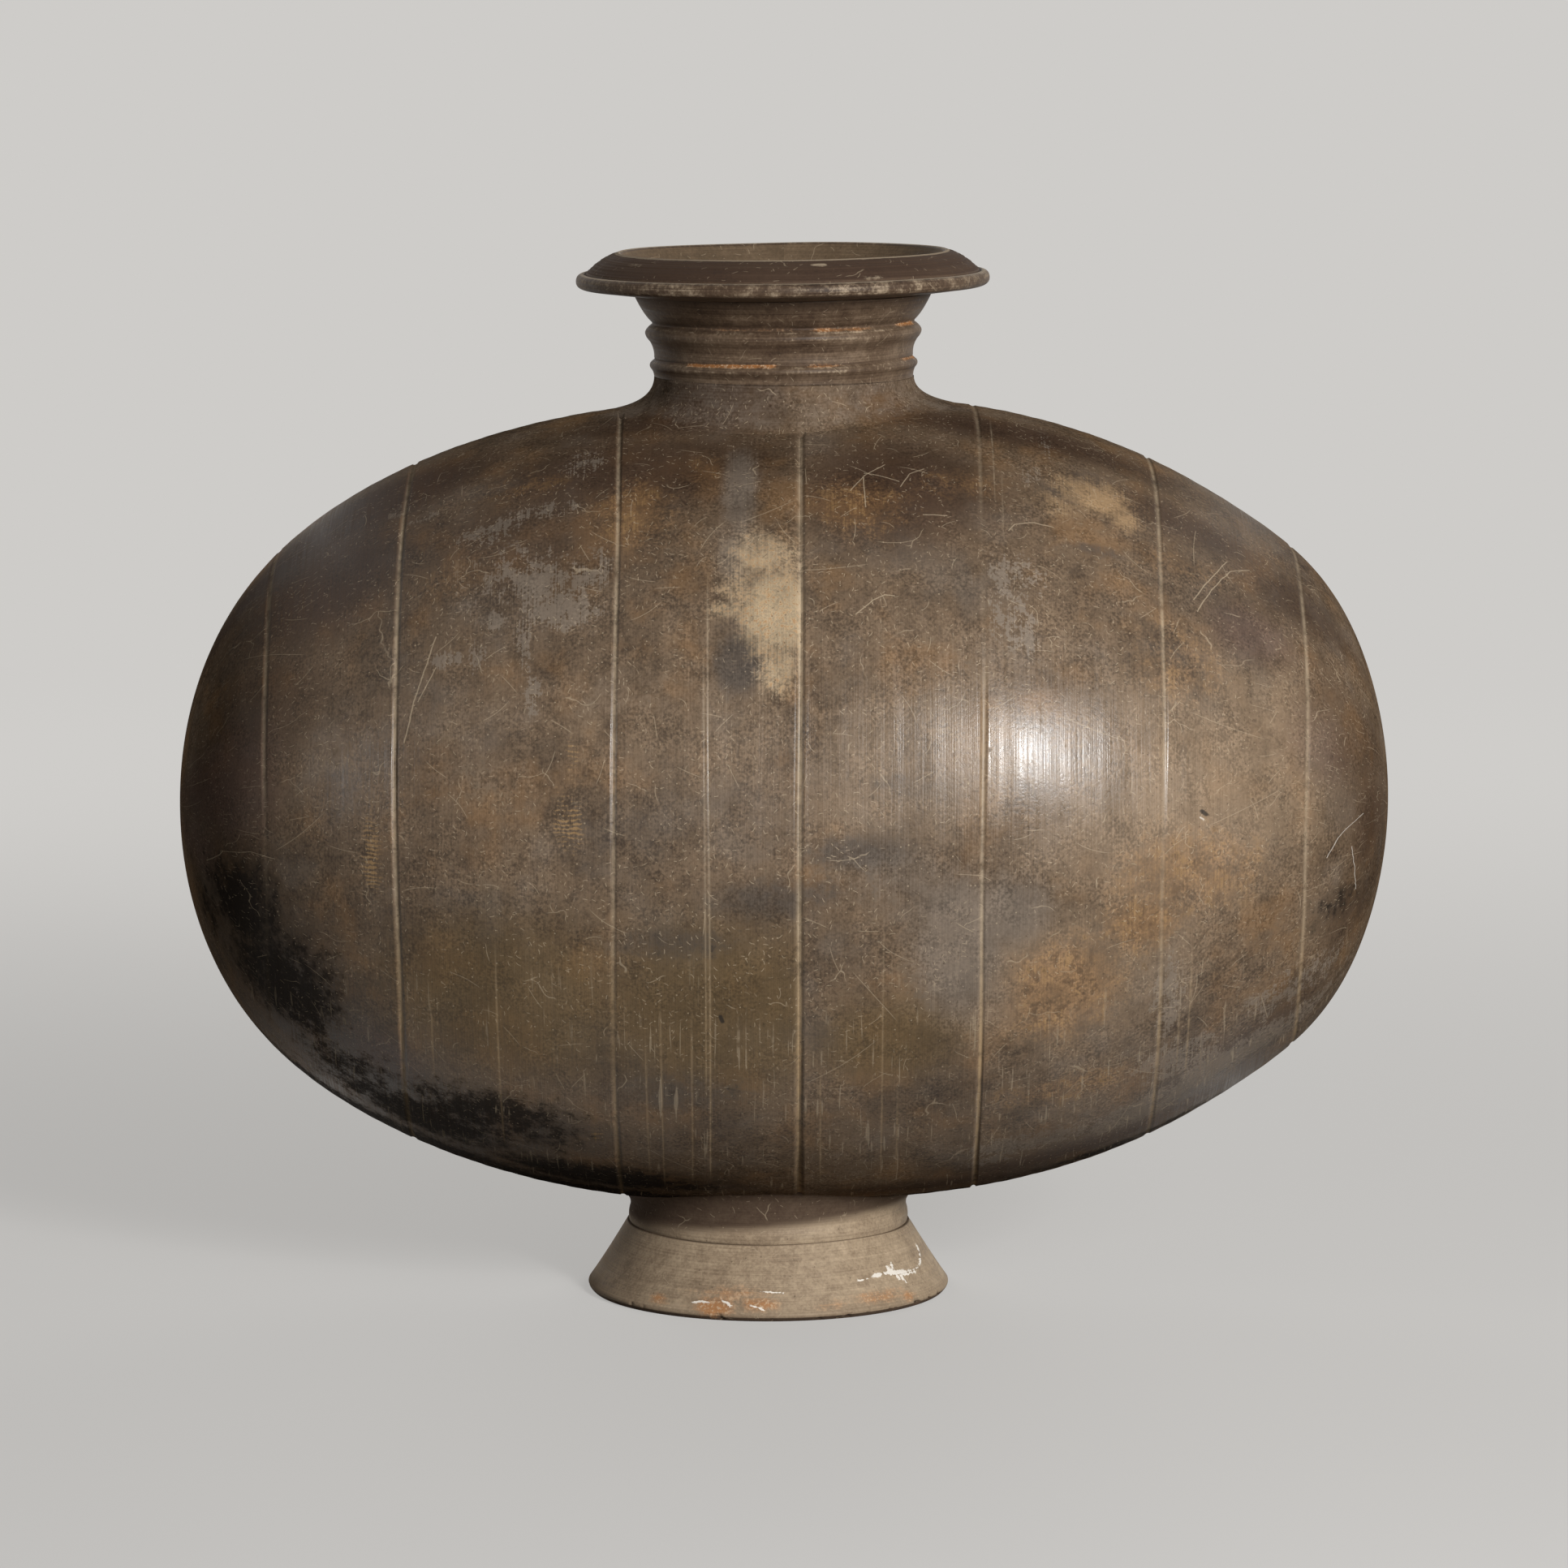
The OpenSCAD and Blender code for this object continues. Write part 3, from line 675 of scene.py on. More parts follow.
# Scratches: a line through the middle of a cell, turned by one dice and bowed by another, in a share of the
# cells; half is its half length and thin its half width
def scratchLines(skin, cell, half, thin, share, bow):
    x, y, turnDice, lengthDice, shareDice = cellDice(skin, cell)
    angle = turnDice * (2 * math.pi)
    c, s = angle.maths("COSINE", angle), angle.maths("SINE", angle)
    along = (x * c + y * s) / (half * mm * (0.35 + 0.65 * lengthDice))
    across = (y * c - x * s) / (thin * mm) + bow * (lengthDice - 0.5) * along * along
    return abs(across).fade(1.0, 0.4) * abs(along).fade(1.0, 0.6) * shareDice.fade(1 - share, 1.001 - share)


# Every kind of scratch in a table, each on its own shifted pattern
def scratchKinds(skin, table):
    return {kind: scratchLines(skin.step(by), *sizes) for kind, (by, *sizes) in table.items()}


# Flecks: round dots in the middle of a share of the cells, each of its own size
def flecks(skin, cell, size, share):
    x, y, turnDice, sizeDice, shareDice = cellDice(skin, cell)
    far = x.maths("SQRT", x * x + y * y) / (size * mm * (0.4 + 0.6 * sizeDice))
    return far.fade(1.0, 0.5) * shareDice.fade(1 - share, 1.001 - share)


# Drawn lines: the nearest distance from the skin to each straight stretch of the listed lines
def drawnLines(place, lines):
    shown = None
    for thin, line in lines:
        flat = [np.array((x * mm, math.radians(turn) * jarBody["seamRadius"] * mm, 0)) for x, turn in line]
        for first, last in zip(flat[:-1], flat[1:]):
            way = last - first
            off = place.step(tuple(-first))
            sockets = {0: off, 1: tuple(way / (way @ way))}
            share = off.node("ShaderNodeVectorMath", {"operation": "DOT_PRODUCT"}, sockets, "Value")
            share = share.maths("ADD", share, 0.0, True)
            point = share.node("ShaderNodeVectorMath", {"operation": "SCALE"}, {0: tuple(way), "Scale": share})
            far = off.node("ShaderNodeVectorMath", {"operation": "DISTANCE"}, {0: off, 1: point}, "Value")
            near = far.fade(thin * mm, 0.4 * thin * mm)
            shown = near if shown is None else shown.most(near)
    return shown


# Noises that every clay finish shares: clouds, mottling, fine grain, specks and strokes round the turning
def clayNoises(place, skin):
    strokes = skin.stretch((1.0, 0.012, 1.0))
    n = {
        "cloud": place.blots(66, 2.0),
        "mottle": place.step((0.3, 0.1, 0.7)).blots(22, 5.0, 0.62),
        "fine": place.step((0.9, 0.4, 0.2)).blots(5.0, 4.0, 0.64),
        "speck": place.step((0.2, 0.8, 0.5)).blots(1.1, 2.0, 0.55),
        "stroke": strokes.blots(0.65, 2.0, 0.55),
        "band": strokes.step((0.4, 0.0, 0.3)).blots(5.0, 3.0, 0.6),
    }
    n["broken"] = 0.3 * n["mottle"] + 0.46 * n["fine"] + 0.24 * n["speck"] - 0.5
    n["flaky"] = 0.2 * n["mottle"] + 0.38 * n["fine"] + 0.2 * n["speck"] + 0.22 * n["stroke"] - 0.5
    return n


# Body finish: mottled brown clay with strokes of the burnishing round the long axis, and the stains, wear,
# painted light and painted shade of its marks, whose soft edges are broken up by noise
def burnishedClay(name, skinOf, look, half=None):
    c = paints
    material, wire, shader = newFinish(name, look["specular"])
    place = wire.node("ShaderNodeTexCoord", None, None, "Object")
    skin = skinOf(place)
    n = clayNoises(place, skin)
    mottle, fine, speck, stroke, flaky = n["mottle"], n["fine"], n["speck"], n["stroke"], n["flaky"]
    mixed = 0.22 * mottle + 0.22 * n["cloud"] + 0.22 * fine + 0.27 * speck + 0.07 * n["band"]
    stops = [(0.37, c["deep"]), (0.46, c["brown"]), (0.54, c["warm"]), (0.65, c["light"])]
    colour = mixed.node("ShaderNodeValToRGB", {"stops": stops}, {0: mixed}, "Color")
    redder = place.step((0.7, 0.2, 0.4)).blots(30, 4.0, 0.6)
    colour = colour.over(redder.fade(0.5, 0.7) * 0.32, c["rust"])
    colour = colour.over(redder.fade(0.5, 0.3) * 0.36, c["haze"])

    stain = {}
    for kind, (noise, breakUp, low, high, share) in bodyStains.items():
        mark = place.mark(kind)
        stain[kind] = (mark + breakUp * n[noise]).fade(low, high)
        if kind == "grey":  # its flakes stay near the mark
            stain[kind] = stain[kind] * mark.fade(0.03, 0.3)
        colour = colour.over(stain[kind] * share, c[kind])
        if kind == "rust":  # with dark wavy streaks and bright flakes in it
            wavy = skin.waver(10, 4, True).stretch((1.0, 0.6, 1.0)).blots(3.6, 2.0, 0.6)
            colour = colour.over(stain[kind] * wavy.fade(0.5, 0.62) * 0.5, c["deep"])
            colour = colour.over(stain[kind] * flaky.fade(0.03, 0.07) * 0.3, c["ochre"])
    colour = colour.over(stain["pale"] * fine.fade(0.54, 0.66) * 0.6, c["tan"])
    colour = colour.over(stain["pale"] * speck.fade(0.54, 0.64) * 0.7, c["rust"])
    patchy = place.step((0.5, 0.6, 0.1)).blots(14, 3.0, 0.6).fade(0.42, 0.6)
    grains = ((0.75 * speck + 0.25 * fine).fade(0.36, 0.64) - 0.5) * (0.25 + patchy) + 0.5
    colour = colour.shade(0.8, 1.2, grains)
    colour = colour.shade(0.89, 1.1, (0.6 * mottle + 0.4 * n["cloud"]).fade(0.4, 0.6))

    height = place.node("ShaderNodeSeparateXYZ", None, {0: place}, "Z")
    drips = skin.stretch((1.0, 0.05, 1.0)).blots(1.5, 1.0).fade(0.64, 0.7) * mottle.fade(0.42, 0.54)
    filled = place.mark("groove") * (0.3 + 1.1 * fine).fade(0.45, 1.05)
    colour = colour.over(drips * height.fade(0.17, 0.11) * 0.4, c["dust"])
    colour = colour.over(filled * 0.68, c["dust"])
    colour = colour.over(filled * height.fade(0.19, 0.11) * 0.5, c["ochre"])
    waves = height * (2 * math.pi / (1.7 * mm)) + 26.0 * mottle
    waves = waves.maths("SINE", waves)
    ripple = (place.mark("ripple") + 0.4 * waves + 5.0 * flaky).fade(0.8, 1.2)
    colour = colour.over(ripple * place.mark("ripple") * 0.5, c["ochre"])

    scratch = scratchKinds(skin, bodyScratches)
    roots = rootLines(skin, 30, 0.3, 0.58)
    ticks = scratch["ticks"] * mottle.fade(0.4, 0.54)
    hairs = scratch["hairs"].most(scratch["longHairs"])
    dots = flecks(skin, 4.0, 0.44, 0.32)
    pits = flecks(skin.step((0.23, 0.11, 0)), 3.7, 0.5, 0.36)
    for wear, share, paint in [
        (roots, 0.4, "dust"), (ticks, 0.5, "dust"), (hairs, 0.37, "dust"),
        (scratch["nicks"], 0.45, "deep"), (dots, 0.5, "dust"), (pits, 0.55, "deep"),
    ]:
        colour = colour.over(wear * share, c[paint])
    scars = ticks.most(hairs).most(roots)
    unsteady = skin.waver(10, 0.7, True)
    for kind, share, paint in [("singles", 0.55, "dust"), ("hollows", 0.85, "soot"), ("cracks", 0.5, "lime")]:
        if half and half[kind]:
            line = drawnLines(unsteady, half[kind])
            colour = colour.over(line * share, c[paint])
            scars = scars.most(line)
    colour = colour.shade(0.96, 1.04, stroke.fade(0.3, 0.7))
    inside = place.mark("inside")
    colour = colour.over(inside, c["inside"])

    worn = stain["grey"].most(stain["pale"]).most(scars * 0.6)
    dull = abs(height - jarBody["axisHeight"] * mm).fade(*dullClay["rise"])
    dull = dull.most(abs(height.outlet("X")).fade(*dullClay["reach"]))
    streaky = stroke - 0.5
    rough = look["gloss"] + 0.3 * dull + (0.62 - 0.42 * dull) * streaky
    rough = rough + 0.2 * (mottle - 0.5) + 0.12 * (speck - 0.5)
    rough = rough + 0.16 * worn + 0.3 * filled + 0.3 * stain["soot"] + 0.4 * inside
    relief = (0.58 - 0.4 * dull) * streaky + 0.4 * speck + 0.4 * fine
    matt = (dullClay["matt"] * dull).most(dullClay["sootShadeMatt"] * stain["soot"])
    closeFinish(wire, shader, colour, rough, relief, 0.35, 0.4 * mm, matt)
    return material


# Finish of the thrown pieces: its own four browns, strokes round the upright axis, iron stains, lime crust,
# pale worn edges that also carry painted light, darkening that is partly dirt and partly painted shade, and a
# rough inside
def thrownClay(name, look, atX):
    c, drawn, grain = paints, look["drawn"], look["grain"]
    material, wire, shader = newFinish(name, look["specular"])
    place = wire.node("ShaderNodeTexCoord", None, None, "Object")
    skin = thrownSkin(place, atX)
    n = clayNoises(place, skin)
    fine, speck, stroke, broken, flaky = n["fine"], n["speck"], n["stroke"], n["broken"], n["flaky"]
    grainy, streaky = 0.6 * fine + 0.4 * speck, 0.6 * n["band"] + 0.4 * stroke
    mixed = 0.18 * n["mottle"] + 0.22 * n["cloud"] + (0.6 - drawn) * grainy + drawn * streaky
    stops = list(zip((0.4, 0.47, 0.53, 0.61), [tone(*rgb) for rgb in look["browns"]]))
    colour = mixed.node("ShaderNodeValToRGB", {"stops": stops}, {0: mixed}, "Color")
    inside = place.mark("inside")
    colour = colour.over(inside * 0.6, c["inside"])
    # darkening: partly dirt, partly painted shade under the ridges, below the bead, on the mouth's slope, on
    # the collar under the belly and on the foot's left side and lower edge
    dirt = (place.mark("dirt") + 1.1 * broken).fade(0.1, 1.0)
    colour = colour.over(dirt * 0.85, c["umber"])
    # pale wear, and painted light on the neck's ledges and crests
    bare = (place.mark("bare") + 2.6 * flaky).fade(0.35, 0.85)
    colour = colour.over(bare * 0.5, c["bare"])
    colour = colour.shade(1 - grain, 1 + grain, (0.6 * speck + 0.4 * fine).fade(0.34, 0.66))
    scratch = scratchKinds(skin, thrownScratches)
    scars = scratch["ticks"].most(scratch["hairs"]).most(rootLines(skin, 26, 0.3, 0.58))
    colour = colour.over(scars * 0.34, c["dust"])
    colour = colour.over(flecks(skin, 4.0, 0.34, 0.3) * 0.35, c["dust"])
    colour = colour.over(flecks(skin.step((0.23, 0.11, 0)), 6.0, 0.5, 0.3) * 0.5, c["deep"])
    ironMark, limeMark = place.mark("iron"), place.mark("lime")
    iron = (ironMark + 3.0 * flaky).fade(0.3, 0.95) * ironMark.fade(0.02, 0.25)
    colour = colour.over(iron * 0.66, c["iron"])
    colour = colour.over(iron * speck.fade(0.52, 0.62) * 0.5, c["bare"])
    lime = (0.82 * limeMark + 6.0 * flaky).fade(0.46, 0.68) * limeMark.fade(0.02, 0.25)
    colour = colour.over(lime * 0.95, c["lime"])
    colour = colour.shade(0.95, 1.05, stroke.fade(0.3, 0.7))
    rough = look["gloss"] + 0.4 * (stroke - 0.5) + 0.2 * (n["mottle"] - 0.5)
    rough = rough + 0.3 * iron.most(lime).most(dirt) + 0.2 * inside
    relief = 0.5 * stroke + 2 * grain * (speck + fine)
    closeFinish(wire, shader, colour, rough, relief, 0.4, 0.5 * mm)
    return material


leftFinish = burnishedClay("leftClay", bodySkin, bodyClay, leftHalf)
rightFinish = burnishedClay("rightClay", bodySkin, bodyClay, rightHalf)
print("body finishes ready")
bodyHalf("leftBowl", "left_body_half", leftHalf, leftFinish)
bodyHalf("rightBowl", "right_body_half", rightHalf, rightFinish)


# A closed profile of radius and height turned about an upright axis; also gives each point's angle in
# degrees, from the front round to the right, and its radius and height
def turned(profile, columns, atX):
    angle = np.repeat(np.linspace(-180, 180, columns, endpoint=False)[None, :], len(profile), 0)
    r, h = [np.repeat(part[:, None], columns, 1) for part in profile.T]
    a = np.radians(angle)
    return np.stack([atX + r * np.sin(a), -r * np.cos(a), h], -1), angle, r, h


# Soft stretch of an angle: 1 between two angles and 0 a few degrees outside them
def arcMark(angle, low, high, soft=4.0):
    return ease(angle, low - soft, low + soft) * (1 - ease(angle, high - soft, high + soft))


# Lean: the neck and mouth were set on a little askew, so they turn about the crown by a small angle
def leanOver(points, degrees, crown):
    s = math.sin(math.radians(degrees))
    x, z = points[..., 0].copy(), points[..., 2].copy()
    points[..., 0] = x - s * (z - crown)
    points[..., 2] = z + s * x
    return points


crownHeight = jarBody["axisHeight"] + jarBody["seamRadius"]
neckTube = {
    "radius": 51.1, "bore": 45.0, "tenon": 12.0, "topRadius": 58.8, "topBore": 50.5, "height": 41.1,
    "lean": 0.6, "columns": 400, "step": 0.7,
    "parting": (48, 48, 54.5),  # radii that part outside from inside: at the crown, under the flare, at the top
    "flareFrom": 28,
    "waver": 0.25, "waverLengths": (40, 130),
    # outside from the foot of the tube up, as bends through three points, each a radius beyond the tube's and a
    # height above the crown, with the number of points on the bend
    "ridges": [
        ((0.0, 8.4), (0.2, 10.6), (1.0, 11.8), 14), ((1.0, 11.8), (2.3, 13.1), (1.5, 14.4), 14),
        ((1.5, 14.4), (0.9, 15.0), (0.0, 15.7), 8), ((0.0, 15.7), (-0.3, 16.0), (0.0, 16.5), 5),
        ((0.0, 17.4), (0.1, 20.4), (1.7, 22.9), 14), ((1.7, 22.9), (4.2, 25.6), (3.2, 27.2), 14),
        ((3.2, 27.2), (2.5, 28.4), (0.9, 29.5), 10), ((0.9, 29.5), (0.4, 30.0), (1.0, 30.6), 6),
    ],
    # bands of darkening, wear, painted light and painted shade: height and half height
    "notches": [(30.1, 0.5), (16.1, 0.45)], "crests": [(25.9, 1.0), (13.2, 0.9)],
    "ledges": [(28.4, 0.9), (14.9, 0.7)], "undersideShade": [(22.6, 1.2), (11.0, 0.8)],
    # rust stains in the notches: height, half height, from angle, to angle, strength
    "iron": [(29.4, 0.8, 12, 41, 0.75), (29.6, 0.9, 58, 78, 0.95), (29.7, 0.8, -60, 10, 0.4),
             (15.5, 0.8, -47, -3, 0.95), (15.5, 0.8, 8, 26, 0.7), (15.6, 0.8, 64, 92, 0.75),
             (15.5, 0.8, 130, 170, 0.8), (29.6, 0.8, -150, -110, 0.8)],
    "finish": {
        "browns": [(52, 40, 31), (76, 60, 47), (95, 78, 62), (120, 102, 84)],
        "gloss": 0.5, "specular": 0.16, "drawn": 0.34, "grain": 0.07,
    },
}


# Neck: a thrown tube whose outside swells to two ridges, each with a ledge above it, then flares to the mouth
def neckPiece(material):
    k = neckTube
    wide, bore, high = k["radius"], k["bore"], k["height"]
    profile = closeSteps([
        (bore, -k["tenon"]), (wide, -k["tenon"]), (wide, 8.0),
        *[bend(*ridge) + [wide, 0] for ridge in k["ridges"]],
        bend((wide + 1.0, 30.6), (wide + 4.2, 33.6), (k["topRadius"], high)),
        bend((k["topBore"], high), (bore, high - 6.5), (bore, high - 13.0)),
    ], k["step"])
    points, angle, r, h = turned(profile, k["columns"], 0.0)
    out = r > np.interp(h, [0, k["flareFrom"], high], k["parting"])
    iron = np.zeros_like(h)
    for at, tall, left, right, strength in k["iron"]:
        iron = np.maximum(iron, strength * bell(h, at, tall) * arcMark(angle, left, right))
    notches, crests, ledges, undersideShade = [
        sum(bell(h, at, tall) for at, tall in k[kind]) for kind in ("notches", "crests", "ledges", "undersideShade")
    ]
    # painted shadow of the mouth's bead on the top of the flare
    undersideShade = undersideShade + 1.6 * ease(h, 34, 41)
    points = leanOver(points + [0, 0, crownHeight], k["lean"], crownHeight)
    points[..., 2] += k["waver"] * lumps(points, 9, *k["waverLengths"])
    marks = {
        "iron": iron * out, "lime": 0.0, "inside": 1.0 - out,
        # darker in the notches, painted shade under the ridges and the bead; paler with wear and painted light
        # on the crests and ledges
        "dirt": (0.5 * notches + 0.3 * undersideShade) * out, "bare": (0.4 * crests + 0.45 * ledges) * out,
    }
    gridPiece("neckTube", "neck_collar", points, marks, material)


mouthRing = {
    "height": 16.6, "radius": 64.2, "beadRadius": 81.6, "beadLift": 2.7, "beadHeight": 5.8, "beadWidth": 3.8,
    "columns": 400, "step": 0.6, "waver": 0.25, "waverLengths": (60, 160), "lines": 0.07,
    # worn spots on the slope: from angle, to angle, radius, half width, strength
    "spots": [
        (9.0, 14.5, 69.5, 1.1, 0.95), (-58, -50, 71.0, 1.0, 0.5),
        (24, 30, 76.5, 1.0, 0.6), (52, 80, 75.0, 1.6, 0.3),
    ],
}


# Mouth: a ring with a funnel inside, a slope outside with a few turned lines, and a rounded bead round it
def mouthPiece(material):
    m = mouthRing
    rim, high = m["radius"], m["height"]
    bead, groove = m["beadRadius"], m["beadRadius"] - m["beadWidth"]
    low, middle, top = m["beadLift"], m["beadLift"] + 0.5 * m["beadHeight"], m["beadLift"] + m["beadHeight"]
    profile = closeSteps([
        bend((neckTube["topBore"], 0), (57.4, 8.0), (rim - 0.7, high - 0.6)),
        bend((rim - 0.7, high - 0.6), (rim - 0.1, high), (rim + 0.7, high - 0.1)),
        bend((rim + 0.7, high - 0.1), (71.0, high - 1.4), (groove - 0.9, top + 0.9), 20),
        bend((groove - 0.5, top + 0.35), (groove, top - 0.9), (groove + 0.5, top - 0.3), 6),
        bend((groove + 0.7, top - 0.05), (bead - 0.1, top), (bead, middle)),
        bend((bead, middle), (bead, low + 0.1), (groove, low - 0.1)),
        (neckTube["topRadius"], 0.0),
    ], m["step"])
    points, angle, r, h = turned(profile, m["columns"], 0.0)
    slope = (h > 8.4) & (r > rim + 0.4) & (r < groove - 0.6)
    points[..., 2] -= slope * m["lines"] * (np.sin(r * 2.1) + np.sin(r * 4.7 + 1.0))
    bare = np.zeros_like(h)
    for left, right, at, wide, strength in m["spots"]:
        bare = np.maximum(bare, strength * arcMark(angle, left, right, 1.0) * bell(r, at, wide) * (h > 8))
    edge = bell(r, rim + 0.8, 1.1) * (h > 14)
    line = bell(r, groove, 0.6) * (h > 5)
    brim = bell(r, groove + 1.2, 0.7) * (h > top - 1.2)
    beadSide = (r > groove + 1.4) * (h > 3.4)
    points = leanOver(points + [0, 0, crownHeight + neckTube["height"]], neckTube["lean"], crownHeight)
    points[..., 2] += m["waver"] * lumps(points, 12, *m["waverLengths"])
    marks = {
        "iron": 0.0, "lime": 0.0, "inside": 0.6 * (r < rim - 0.8),
        # painted shade on the slope, which faces up; darker in the groove before the bead
        "dirt": np.maximum(0.85 * line, 0.75 * slope),
        "bare": np.maximum(bare, 1.3 * edge + 1.1 * brim + 0.42 * beadSide),
    }
    gridPiece("mouthRing", "mouth_ring", points, marks, material)


filletSet = {
    "length": 71.0, "width": 57.0, "height": 8.6, "columns": 260, "rows": 30, "tuck": 0.45,
    "under": 4.5,  # how deep its underside lies in the wall
    "wander": [(0.9, 3, 0.5), (0.6, 5, 0.0)],  # waves of its edge: height, number round the neck, start
}


# Outside of the body at a place on the plan, with its wavering wall; side is 1 on top and -1 underneath
def bodySurface(x, y, side):
    d = x - jarBody["seamX"]
    left = eggRadius(leftHalf, np.abs(d), leftHalf["length"], jarBody["seamRadius"])
    right = eggRadius(rightHalf, np.abs(d), rightHalf["length"], jarBody["seamRadius"])
    radius = np.where(d < 0, left, right)
    up = side * np.sqrt(radius ** 2 - y ** 2)
    radius = radius + wallWaver(np.stack([x, y, up], -1), radius)
    return axisAt(x) + side * np.sqrt(radius ** 2 - y ** 2)


# Fillet: at each angle a curve that leaves the neck upright and meets the saddle of the body along its slope,
# tucked a little under the body's skin at its edge, and closed underneath inside the wall
def filletPiece(material):
    f = filletSet
    a = np.linspace(0, 2 * math.pi, f["columns"], endpoint=False)[None, :]
    reach = 1 / np.sqrt((np.cos(a) / f["length"]) ** 2 + (np.sin(a) / f["width"]) ** 2)
    reach = reach + sum(high * np.sin(count * a + start) for high, count, start in f["wander"])
    skin = lambda r: bodySurface(r * np.cos(a), r * np.sin(a), 1)
    first = neckTube["radius"] + 0.2 + 0 * a
    topZ, footZ = crownHeight + f["height"], skin(reach)
    slope = (skin(reach + 1) - skin(reach - 1)) / 2
    middleZ = np.minimum(footZ + slope * (first - reach), topZ - 1.5)
    r = bend(first, first, reach, f["rows"])
    z = bend(topZ, middleZ, footZ, f["rows"])
    z = z - f["tuck"] * ease(np.linspace(0, 1, f["rows"])[:, None], 0.86, 1.0)
    r = np.vstack([r, reach + 3.0, first + 5, first])
    z = np.vstack([z, skin(reach + 3.0) - 1.6, skin(first + 5) - f["under"], skin(first) - f["under"]])
    x, y = r * np.cos(a), r * np.sin(a)
    turn = np.degrees(np.arctan2(z - jarBody["axisHeight"], -y))
    marks = {kind: np.zeros(x.shape) for kind in [*markNames, "groove", "inside"]}
    for half in (leftHalf, rightHalf):
        mine = ease(half["side"] * (x - jarBody["seamX"]), -14, 14)
        for kind, patches in half["patches"].items():
            marks[kind] = np.maximum(marks[kind], mine * patchMark(patches, x, turn))
    marks["rust"] *= 0.4
    outward = (r - first) / (reach - first)
    marks["haze"] = np.maximum(marks["haze"], 0.5 - 0.4 * ease(outward, 0.3, 0.95))
    gridPiece("neckFillet", "neck_fillet", np.stack([x, y, z], -1), marks, material)


footRing = {
    "atX": -6.3, "height": 27.4, "topRadius": 56.4, "tipRadius": 72.4, "tipHeight": 2.3, "bend": (66.5, 10.6),
    "restOuter": 70.8, "restInner": 65.4, "bore": 45.0, "columns": 620, "step": 0.62,
    "markRadius": 67.0,  # radius at which the angles of the marks become lengths
    "parting": (68.0, 50.5),  # radii that part outside from inside, below and above
    "waver": 0.25, "waverLengths": (60, 150), "crust": 0.35, "chips": 0.8, "chipLift": 0.5,
    # crust of lime: lines through angle and height, half width in millimetres
    "lime": [([(32.8, 12.7), (39.5, 13.6), (45.0, 13.9)], 0.55),
             ([(45.0, 13.9), (49.0, 13.8), (50.5, 16.0)], 1.0),
             ([(49.0, 13.8), (55.0, 12.6), (61.5, 12.2)], 1.0), ([(52.5, 12.5), (53.5, 9.6)], 0.8),
             ([(47.5, 15.8), (51.0, 11.6)], 0.9),
             ([(61.5, 12.2), (68.0, 13.6), (73.0, 16.5), (75.2, 19.0)], 0.8),
             ([(-25.2, 6.0), (-22.0, 6.8), (-19.0, 6.4)], 0.45),
             ([(-15.0, 7.4), (-13.5, 6.9), (-12.0, 5.6)], 0.5),
             ([(-3.0, 11.2), (1.0, 10.9), (5.2, 10.4)], 0.32), ([(-6.0, 6.2), (-3.5, 5.6), (-1.5, 4.6)], 0.4),
             ([(150, 9.0), (158, 12.5), (170, 12.0)], 0.9)],
    # iron stains: angle, height, half width, half height, strength
    "iron": [(-17.5, 5.2, 9, 4.2, 1.0), (-37.5, 5.9, 5, 2.6, 0.8), (-2.8, 6.6, 10, 3.2, 0.85),
             (40, 6.0, 16, 3.2, 0.7), (52, 4.6, 5, 2.6, 0.8), (-12, 10.0, 26, 4.0, 0.55),
             (20, 5.0, 10, 2.6, 0.6), (-140, 6.0, 14, 4.0, 0.8), (120, 5.0, 10, 3.0, 0.7)],
    "finish": {
        "browns": [(122, 104, 85), (142, 123, 101), (157, 138, 114), (173, 153, 128)],
        "gloss": 0.55, "specular": 0.14, "drawn": 0.24, "grain": 0.06,
    },
}


# Distance in millimetres from each point of the foot to a line through angles and heights
def lineDistance(line, along, height, radius):
    line = np.array([(math.radians(p) * radius, q) for p, q in line])
    best = np.full(along.shape, 1e9)
    for (p, q), (wayP, wayQ) in zip(line[:-1], np.diff(line, axis=0)):
        t = np.clip(((along - p) * wayP + (height - q) * wayQ) / (wayP ** 2 + wayQ ** 2), 0, 1)
        best = np.minimum(best, np.hypot(along - p - t * wayP, height - q - t * wayQ))
    return best


